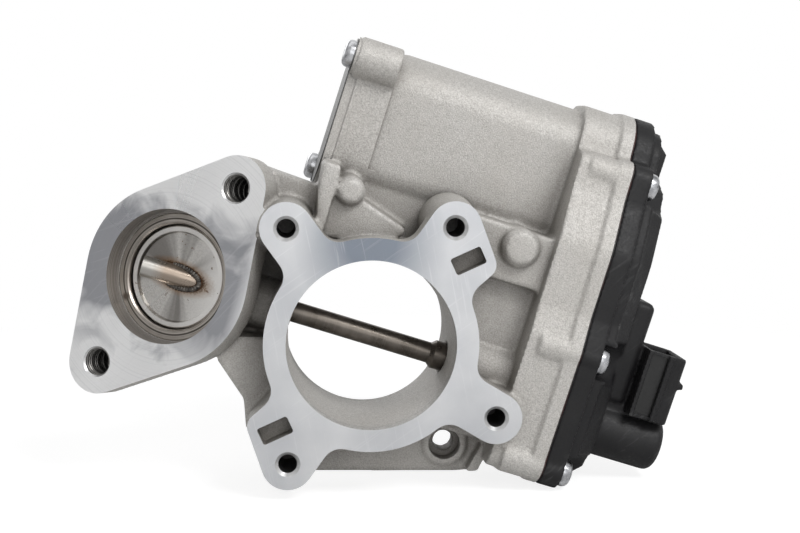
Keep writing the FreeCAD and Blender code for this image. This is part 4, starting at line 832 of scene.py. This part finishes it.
def moulded(name, dark, pale, roughness):
    """Moulded plastic or rubber: the mould's fine grain, clouded where the melt flowed."""
    material, tree = new_material(name)
    fine = use_group(tree, sand_grain, Vector=place_on(tree), Grain=1400.0, Blotch=60.0)
    gloss = spread(tree, fine["Tone"], 0, 1, roughness * 0.85, roughness * 1.15)
    shade(tree, two_tone(tree, fine["Stain"], dark, pale), gloss, 0.0, fine["Height"], 0.03, 0.5)
    return material


wear(worked_metal("sintered_bush", (0.28, 0.25, 0.20), (0.52, 0.47, 0.38), 0.5), "shaft_bush")
ground_bearing = worked_metal("ground_bearing", (0.45, 0.45, 0.45), (0.66, 0.66, 0.66), 0.25, ROUND_SHAFT)
wear(ground_bearing, "shaft_bearing")
wear(moulded("seal_lip", (0.012, 0.012, 0.012), (0.03, 0.03, 0.03), 0.6), "shaft_seal")

# Return spring: three close turns of drawn wire round the hub, which shut the valve when the current is off.
# Drawing leaves fine lines along the wire under a grey phosphate skin.
drawn_wire = worked_metal("drawn_wire", (0.13, 0.13, 0.135), (0.27, 0.27, 0.28), 0.4, ROUND_SHAFT, 1600.0)
wear(drawn_wire, "return_spring")

# Output sector and its insert: a toothed sector moulded in glass-filled nylon round a turned steel hub.
# A sintered magnet in its end tells the board over it how far the valve is open.
glass_nylon = moulded("glass_filled_nylon", (0.60, 0.565, 0.48), (0.74, 0.70, 0.61), 0.5)
turned_steel = worked_metal("turned_steel", (0.34, 0.34, 0.345), (0.56, 0.56, 0.56), 0.3, ROUND_SHAFT, 1500.0)
wear(glass_nylon, "output_gear")
wear(turned_steel, "gear_insert")
wear(worked_metal("sintered_magnet", (0.08, 0.08, 0.085), (0.15, 0.15, 0.16), 0.55), "sensor_magnet")

# Sensor board: green lacquered laminate on four posts of the cover.
# The glass weave shows faintly through the lacquer.
board_finish, tree = new_material("lacquered_board")
place = place_in(tree, shaft_frame)
weave = calculate(tree, "MULTIPLY", *[
    add_node(tree, "ShaderNodeTexWave", {"bands_direction": axis}, Vector=place, Scale=420.0).outputs["Fac"]
    for axis in ("Y", "Z")])
lacquer = two_tone(tree, weave, (0.012, 0.10, 0.045), (0.03, 0.17, 0.08))
shade(tree, lacquer, spread(tree, weave, 0, 1, 0.25, 0.35), 0.0, weave, 0.02, 0.3)
wear(board_finish, "sensor_board")

# Idler gears: two double wheels moulded in the same nylon, each free to turn on a ground pin in the tray.
# The brass pinion on the motor's shaft drives the first of them.
ground_pin = worked_metal("ground_pin", (0.42, 0.42, 0.42), (0.62, 0.62, 0.62), 0.22, ALONG_SHAFT)
wear(glass_nylon, "lower_idler_gear", "upper_idler_gear")
wear(ground_pin, "lower_idler_pin", "upper_idler_pin", "motor_shaft")
wear(worked_metal("hobbed_brass", (0.48, 0.34, 0.14), (0.68, 0.52, 0.26), 0.3, ALONG_SHAFT), "motor_pinion")

# Motor: a small direct-current motor in a drawn and zinc-plated can, with a dark plastic bell at its back.
# A wave washer presses it against the front of the cast shell.
wear(worked_metal("zinc_plated_can", (0.40, 0.40, 0.39), (0.58, 0.58, 0.56), 0.35, ALONG_SHAFT), "motor_can")
wear(moulded("bell_plastic", (0.022, 0.022, 0.022), (0.05, 0.05, 0.05), 0.5), "motor_end_bell")
wear(worked_metal("blued_washer", (0.14, 0.145, 0.17), (0.26, 0.265, 0.29), 0.35, ROUND_SHAFT), "wave_washer")

# End plate: cast in the housing's alloy, and clamped over the motor bore with a thin dark-plated sheet on it.
# Its two pan screws and the six of the cover are zinc plated, with a six-lobed recess.
SCREW_SIZES = {"Head Radius": 4.8 * MM, "Head Height": 3.5 * MM, "Shank Radius": 2.4 * MM, "Lobe Wave": 0.15}
END_SHANK = 14.0
END_LUG_OFFSETS = [(-20.0, 20.6), (20.0, -21.4)]
END_SCREW_SEAT = COLLAR_PLANE - 3.7
HEAD_STEPS = [(0.42, 1.0), (0.2, 0.965), (0.16, 0.92), (0.12, 0.86), (0.07, 0.82)]
RECESS_STEPS = [(0.0, 0.76), (-0.5, 0.93), (-0.12, 0.5)]
LOBES = 6.0
SHEET_BRUSHING = (1.0, 0.12, 1.0)
wear(cast_skin, "end_plate")
sheet_finish = worked_metal(
    "dark_plated_sheet", (0.11, 0.11, 0.11), (0.16, 0.16, 0.157), 0.42, SHEET_BRUSHING, 3600.0)
wear(sheet_finish, "end_sheet")


def raise_step(tree, body, top, rise, size):
    """Pulls the top face of a turned form up by a rise, and scales it."""
    raised = add_node(tree, "GeometryNodeExtrudeMesh", {"mode": "FACES"}, Mesh=body, Selection=top,
                      Offset_Scale=rise, Individual=False).outputs
    sized = add_node(tree, "GeometryNodeScaleElements", {"domain": "FACE"}, Geometry=raised["Mesh"],
                     Selection=raised["Top"], Scale=size)
    return sized.outputs[0], raised["Top"]


def pull_lobes(tree, given, body, top):
    """Moves the rim of the top face in and out along a wave, which makes the recess six-lobed."""
    spot = add_node(tree, "GeometryNodeInputPosition").outputs[0]
    heading = calculate(tree, "ARCTAN2", part_of(tree, spot, "Y"), part_of(tree, spot, "X"))
    wave = calculate(tree, "COSINE", calculate(tree, "MULTIPLY", heading, LOBES))
    pull = calculate(tree, "MULTIPLY", wave, given["Lobe Wave"])
    flat = stretched(tree, spot, (1.0, 1.0, 0.0))
    shift = add_node(tree, "ShaderNodeVectorMath", {"operation": "SCALE"}, in0=flat, Scale=pull).outputs[0]
    return add_node(tree, "GeometryNodeSetPosition", Geometry=body, Selection=top, Offset=shift).outputs[0]


screw_tree, given, result = geometry_tree("pan_screw", [*SCREW_SIZES, "Shank Length"])
shank = add_node(screw_tree, "GeometryNodeMeshCylinder", {"fill_type": "NGON"}, Vertices=48,
                 Radius=given["Shank Radius"], Depth=given["Shank Length"]).outputs
widening = calculate(screw_tree, "DIVIDE", given["Head Radius"], given["Shank Radius"])
body, top = raise_step(screw_tree, shank["Mesh"], shank["Top"], 0.0, widening)
for index, (rise, size) in enumerate(HEAD_STEPS + RECESS_STEPS):
    lift = calculate(screw_tree, "MULTIPLY", given["Head Height"], rise)
    body, top = raise_step(screw_tree, body, top, lift, size)
    if index == len(HEAD_STEPS):
        body = pull_lobes(screw_tree, given, body, top)
half_shank = calculate(screw_tree, "MULTIPLY", given["Shank Length"], -0.5)
drop = add_node(screw_tree, "ShaderNodeCombineXYZ", Z=half_shank).outputs[0]
seated = add_node(screw_tree, "GeometryNodeTransform", Geometry=body, Translation=drop).outputs[0]
settings = {"data_type": "FLOAT"}
chance = add_node(screw_tree, "FunctionNodeRandomValue", settings, in2=0.0, in3=math.tau, Seed=7)
about = add_node(screw_tree, "ShaderNodeCombineXYZ", Z=chance.outputs[1]).outputs[0]
spin = add_node(screw_tree, "FunctionNodeEulerToRotation", Euler=about).outputs[0]
stood = stand_copies(screw_tree, given, seated)
spun = add_node(screw_tree, "GeometryNodeRotateInstances", Instances=stood, Rotation=spin, Local_Space=True)
finish_tree(screw_tree, given, result, spun.outputs[0])

zinc, tree = new_material("bright_zinc")
clouds = noise(tree, place_on(tree), 420.0, 4.0)
metal = two_tone(tree, spread(tree, clouds, 0.35, 0.65, 0, 1), (0.34, 0.345, 0.36), (0.60, 0.605, 0.62))
shade(tree, metal, spread(tree, clouds, 0.3, 0.7, 0.2, 0.36), 1.0, clouds, 0.02, 0.4)


def grow_screws(name, seat, places, shank_length, turn):
    """One mesh of pan screws, at (y, z) places of the shaft's frame."""
    seats = [point_in(shaft_frame, seat, y, z).to_translation() for y, z in places]
    stand = stand_along(shaft_frame, turn, "Y")
    fitting = {"Shank Length": shank_length * MM, "Stand": stand, "Finish": zinc}
    return grow(name, seats, screw_tree, {**SCREW_SIZES, **fitting})


lug_places = [(MOTOR_AXIS[0] + y, MOTOR_AXIS[1] + z) for y, z in END_LUG_OFFSETS]
end_screws = grow_screws("end_plate_pan_screws", END_SCREW_SEAT, lug_places, END_SHANK, -math.pi / 2)
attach(end_screws, "base")
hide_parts("end_plate_screws")

# Gear cover: moulded in black glass-filled nylon, with the connector box, its stem and socket in one piece.
# Its edges are soft from the mould, its skin is matt, and the tool marks of handling show as pale scratches.
FLANGE_TOP = 76.5
LEDGE = ((78.0, 18.5, 0.4), (93.6, 28.5, 3.6))
RIBS_AT = (9.6, 23.4)
RIB_HALF = 0.9
RIB_RISE = (-0.6, 5.0)
RIB_SPAN = (7.0, 17.6)
SOCKET_FRONT = 12.5
SOCKET_STRIPS = ((93.9, 95.6), (101.6, 103.6))
STRIP_DEPTH = (-1.1, 0.6)
STRIP_SPAN = (1.0, 25.2)
CHANNEL_DEPTH = (-3.0, 0.8)
CHANNEL_SPAN = (2.4, 24.0)
FRAYED_SPOT = (81.5, 8.0, 30.0)
cover_skin, tree = new_material("cover_skin")
place = place_in(tree, shaft_frame)
grain = use_group(tree, sand_grain, Vector=place, Grain=1700.0, Blotch=55.0)
strokes = use_group(tree, hairlines, Vector=place, Fineness=520.0, Turn=0.9)["Lines"]
colour = two_tone(tree, grain["Stain"], (0.0075, 0.0073, 0.008), (0.0135, 0.0132, 0.014))
scratched = calculate(tree, "MULTIPLY", strokes, spread(tree, grain["Stain"], 0.5, 0.9, 0, 0.22))
colour = tinted(tree, scratched, colour, (0.14, 0.14, 0.14))
rough_tone = spread(tree, grain["Tone"], 0.35, 0.75, 0, 1)
frayed = calculate(tree, "MULTIPLY", near_spot(tree, place, FRAYED_SPOT, 0.2, 2.0), rough_tone)
colour = tinted(tree, frayed, colour, (0.42, 0.42, 0.41))
shade(tree, colour, spread(tree, grain["Tone"], 0, 1, 0.42, 0.62), 0.0, grain["Height"], 0.05, 0.5,
      Specular_IOR_Level=0.28)

# Painted shade: the channel between the socket's strips is coloured a deeper black than the cover.
channel_skin, tree = new_material("channel_skin")
grain = use_group(tree, sand_grain, Vector=place_on(tree), Grain=1700.0, Blotch=55.0)
colour = two_tone(tree, grain["Tone"], (0.002, 0.002, 0.002), (0.006, 0.006, 0.006))
shade(tree, colour, spread(tree, grain["Tone"], 0, 1, 0.35, 0.5), 0.0, grain["Height"], 0.03, 0.5)

cover_mesh = merged_copy("gear_cover")
add_block(cover_mesh, shaft_frame, *LEDGE)
for z in RIBS_AT:
    add_block(cover_mesh, shaft_frame, (FLANGE_TOP + RIB_RISE[0], RIB_SPAN[0], z - RIB_HALF),
              (FLANGE_TOP + RIB_RISE[1], RIB_SPAN[1], z + RIB_HALF))
for start, stop in SOCKET_STRIPS:
    add_block(cover_mesh, shaft_frame, (start, SOCKET_FRONT + STRIP_DEPTH[0], STRIP_SPAN[0]),
              (stop, SOCKET_FRONT + STRIP_DEPTH[1], STRIP_SPAN[1]))
cover = mesh_object("gear_cover_moulding", cover_mesh, cover_skin)
soften(cover, cell=0.6, keep=0.34)
channel_low = (SOCKET_STRIPS[0][1], SOCKET_FRONT + CHANNEL_DEPTH[0], CHANNEL_SPAN[0])
channel_high = (SOCKET_STRIPS[1][0], SOCKET_FRONT + CHANNEL_DEPTH[1], CHANNEL_SPAN[1])
carve(cover, (made_by(add_block, (shaft_frame, channel_low, channel_high)), channel_skin))
shade_smooth(cover)
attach(cover, "base")
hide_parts("gear_cover")

# Cover seal: a bead of dark red rubber squeezed in the joint between tray and cover.
# Only a thin line of it shows, nearly black with dust.
seal_finish, tree = new_material("dusty_red_rubber")
dust = noise(tree, place_on(tree), 90.0, 4.0)
colour = two_tone(tree, spread(tree, dust, 0.45, 0.7, 0, 1), (0.006, 0.004, 0.004), (0.05, 0.010, 0.009))
shade(tree, colour, spread(tree, dust, 0.3, 0.7, 0.55, 0.75), 0.0, dust, 0.05, 0.5)
wear(seal_finish, "cover_seal")

# Contacts: five tin-plated tabs stamped from strip, standing in the socket's floor.
# The stamping direction shows along each tab.
STAMPED = (1.0, 0.05, 1.0)
tin_plated_tab = worked_metal("tin_plated_tab", (0.50, 0.48, 0.43), (0.70, 0.68, 0.62), 0.3, STAMPED)
wear(tin_plated_tab, "connector_terminals")

# Cover screws: six of the same pan screws, turned home on the cover's lugs.
# They stand on the flange's top and reach 10 mm into the tray.
COVER_SCREWS = [(19.4, 78.4), (8.1, 16.6), (8.1, -24.0), (67.0, 88.0), (60.0, 27.0), (43.5, -24.0)]
COVER_SHANK = FLANGE_TOP - TRAY_PLANE + 10
cover_screws = grow_screws("cover_pan_screws", FLANGE_TOP, COVER_SCREWS, COVER_SHANK, math.pi / 2)
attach(cover_screws, "base")
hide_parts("cover_screws")
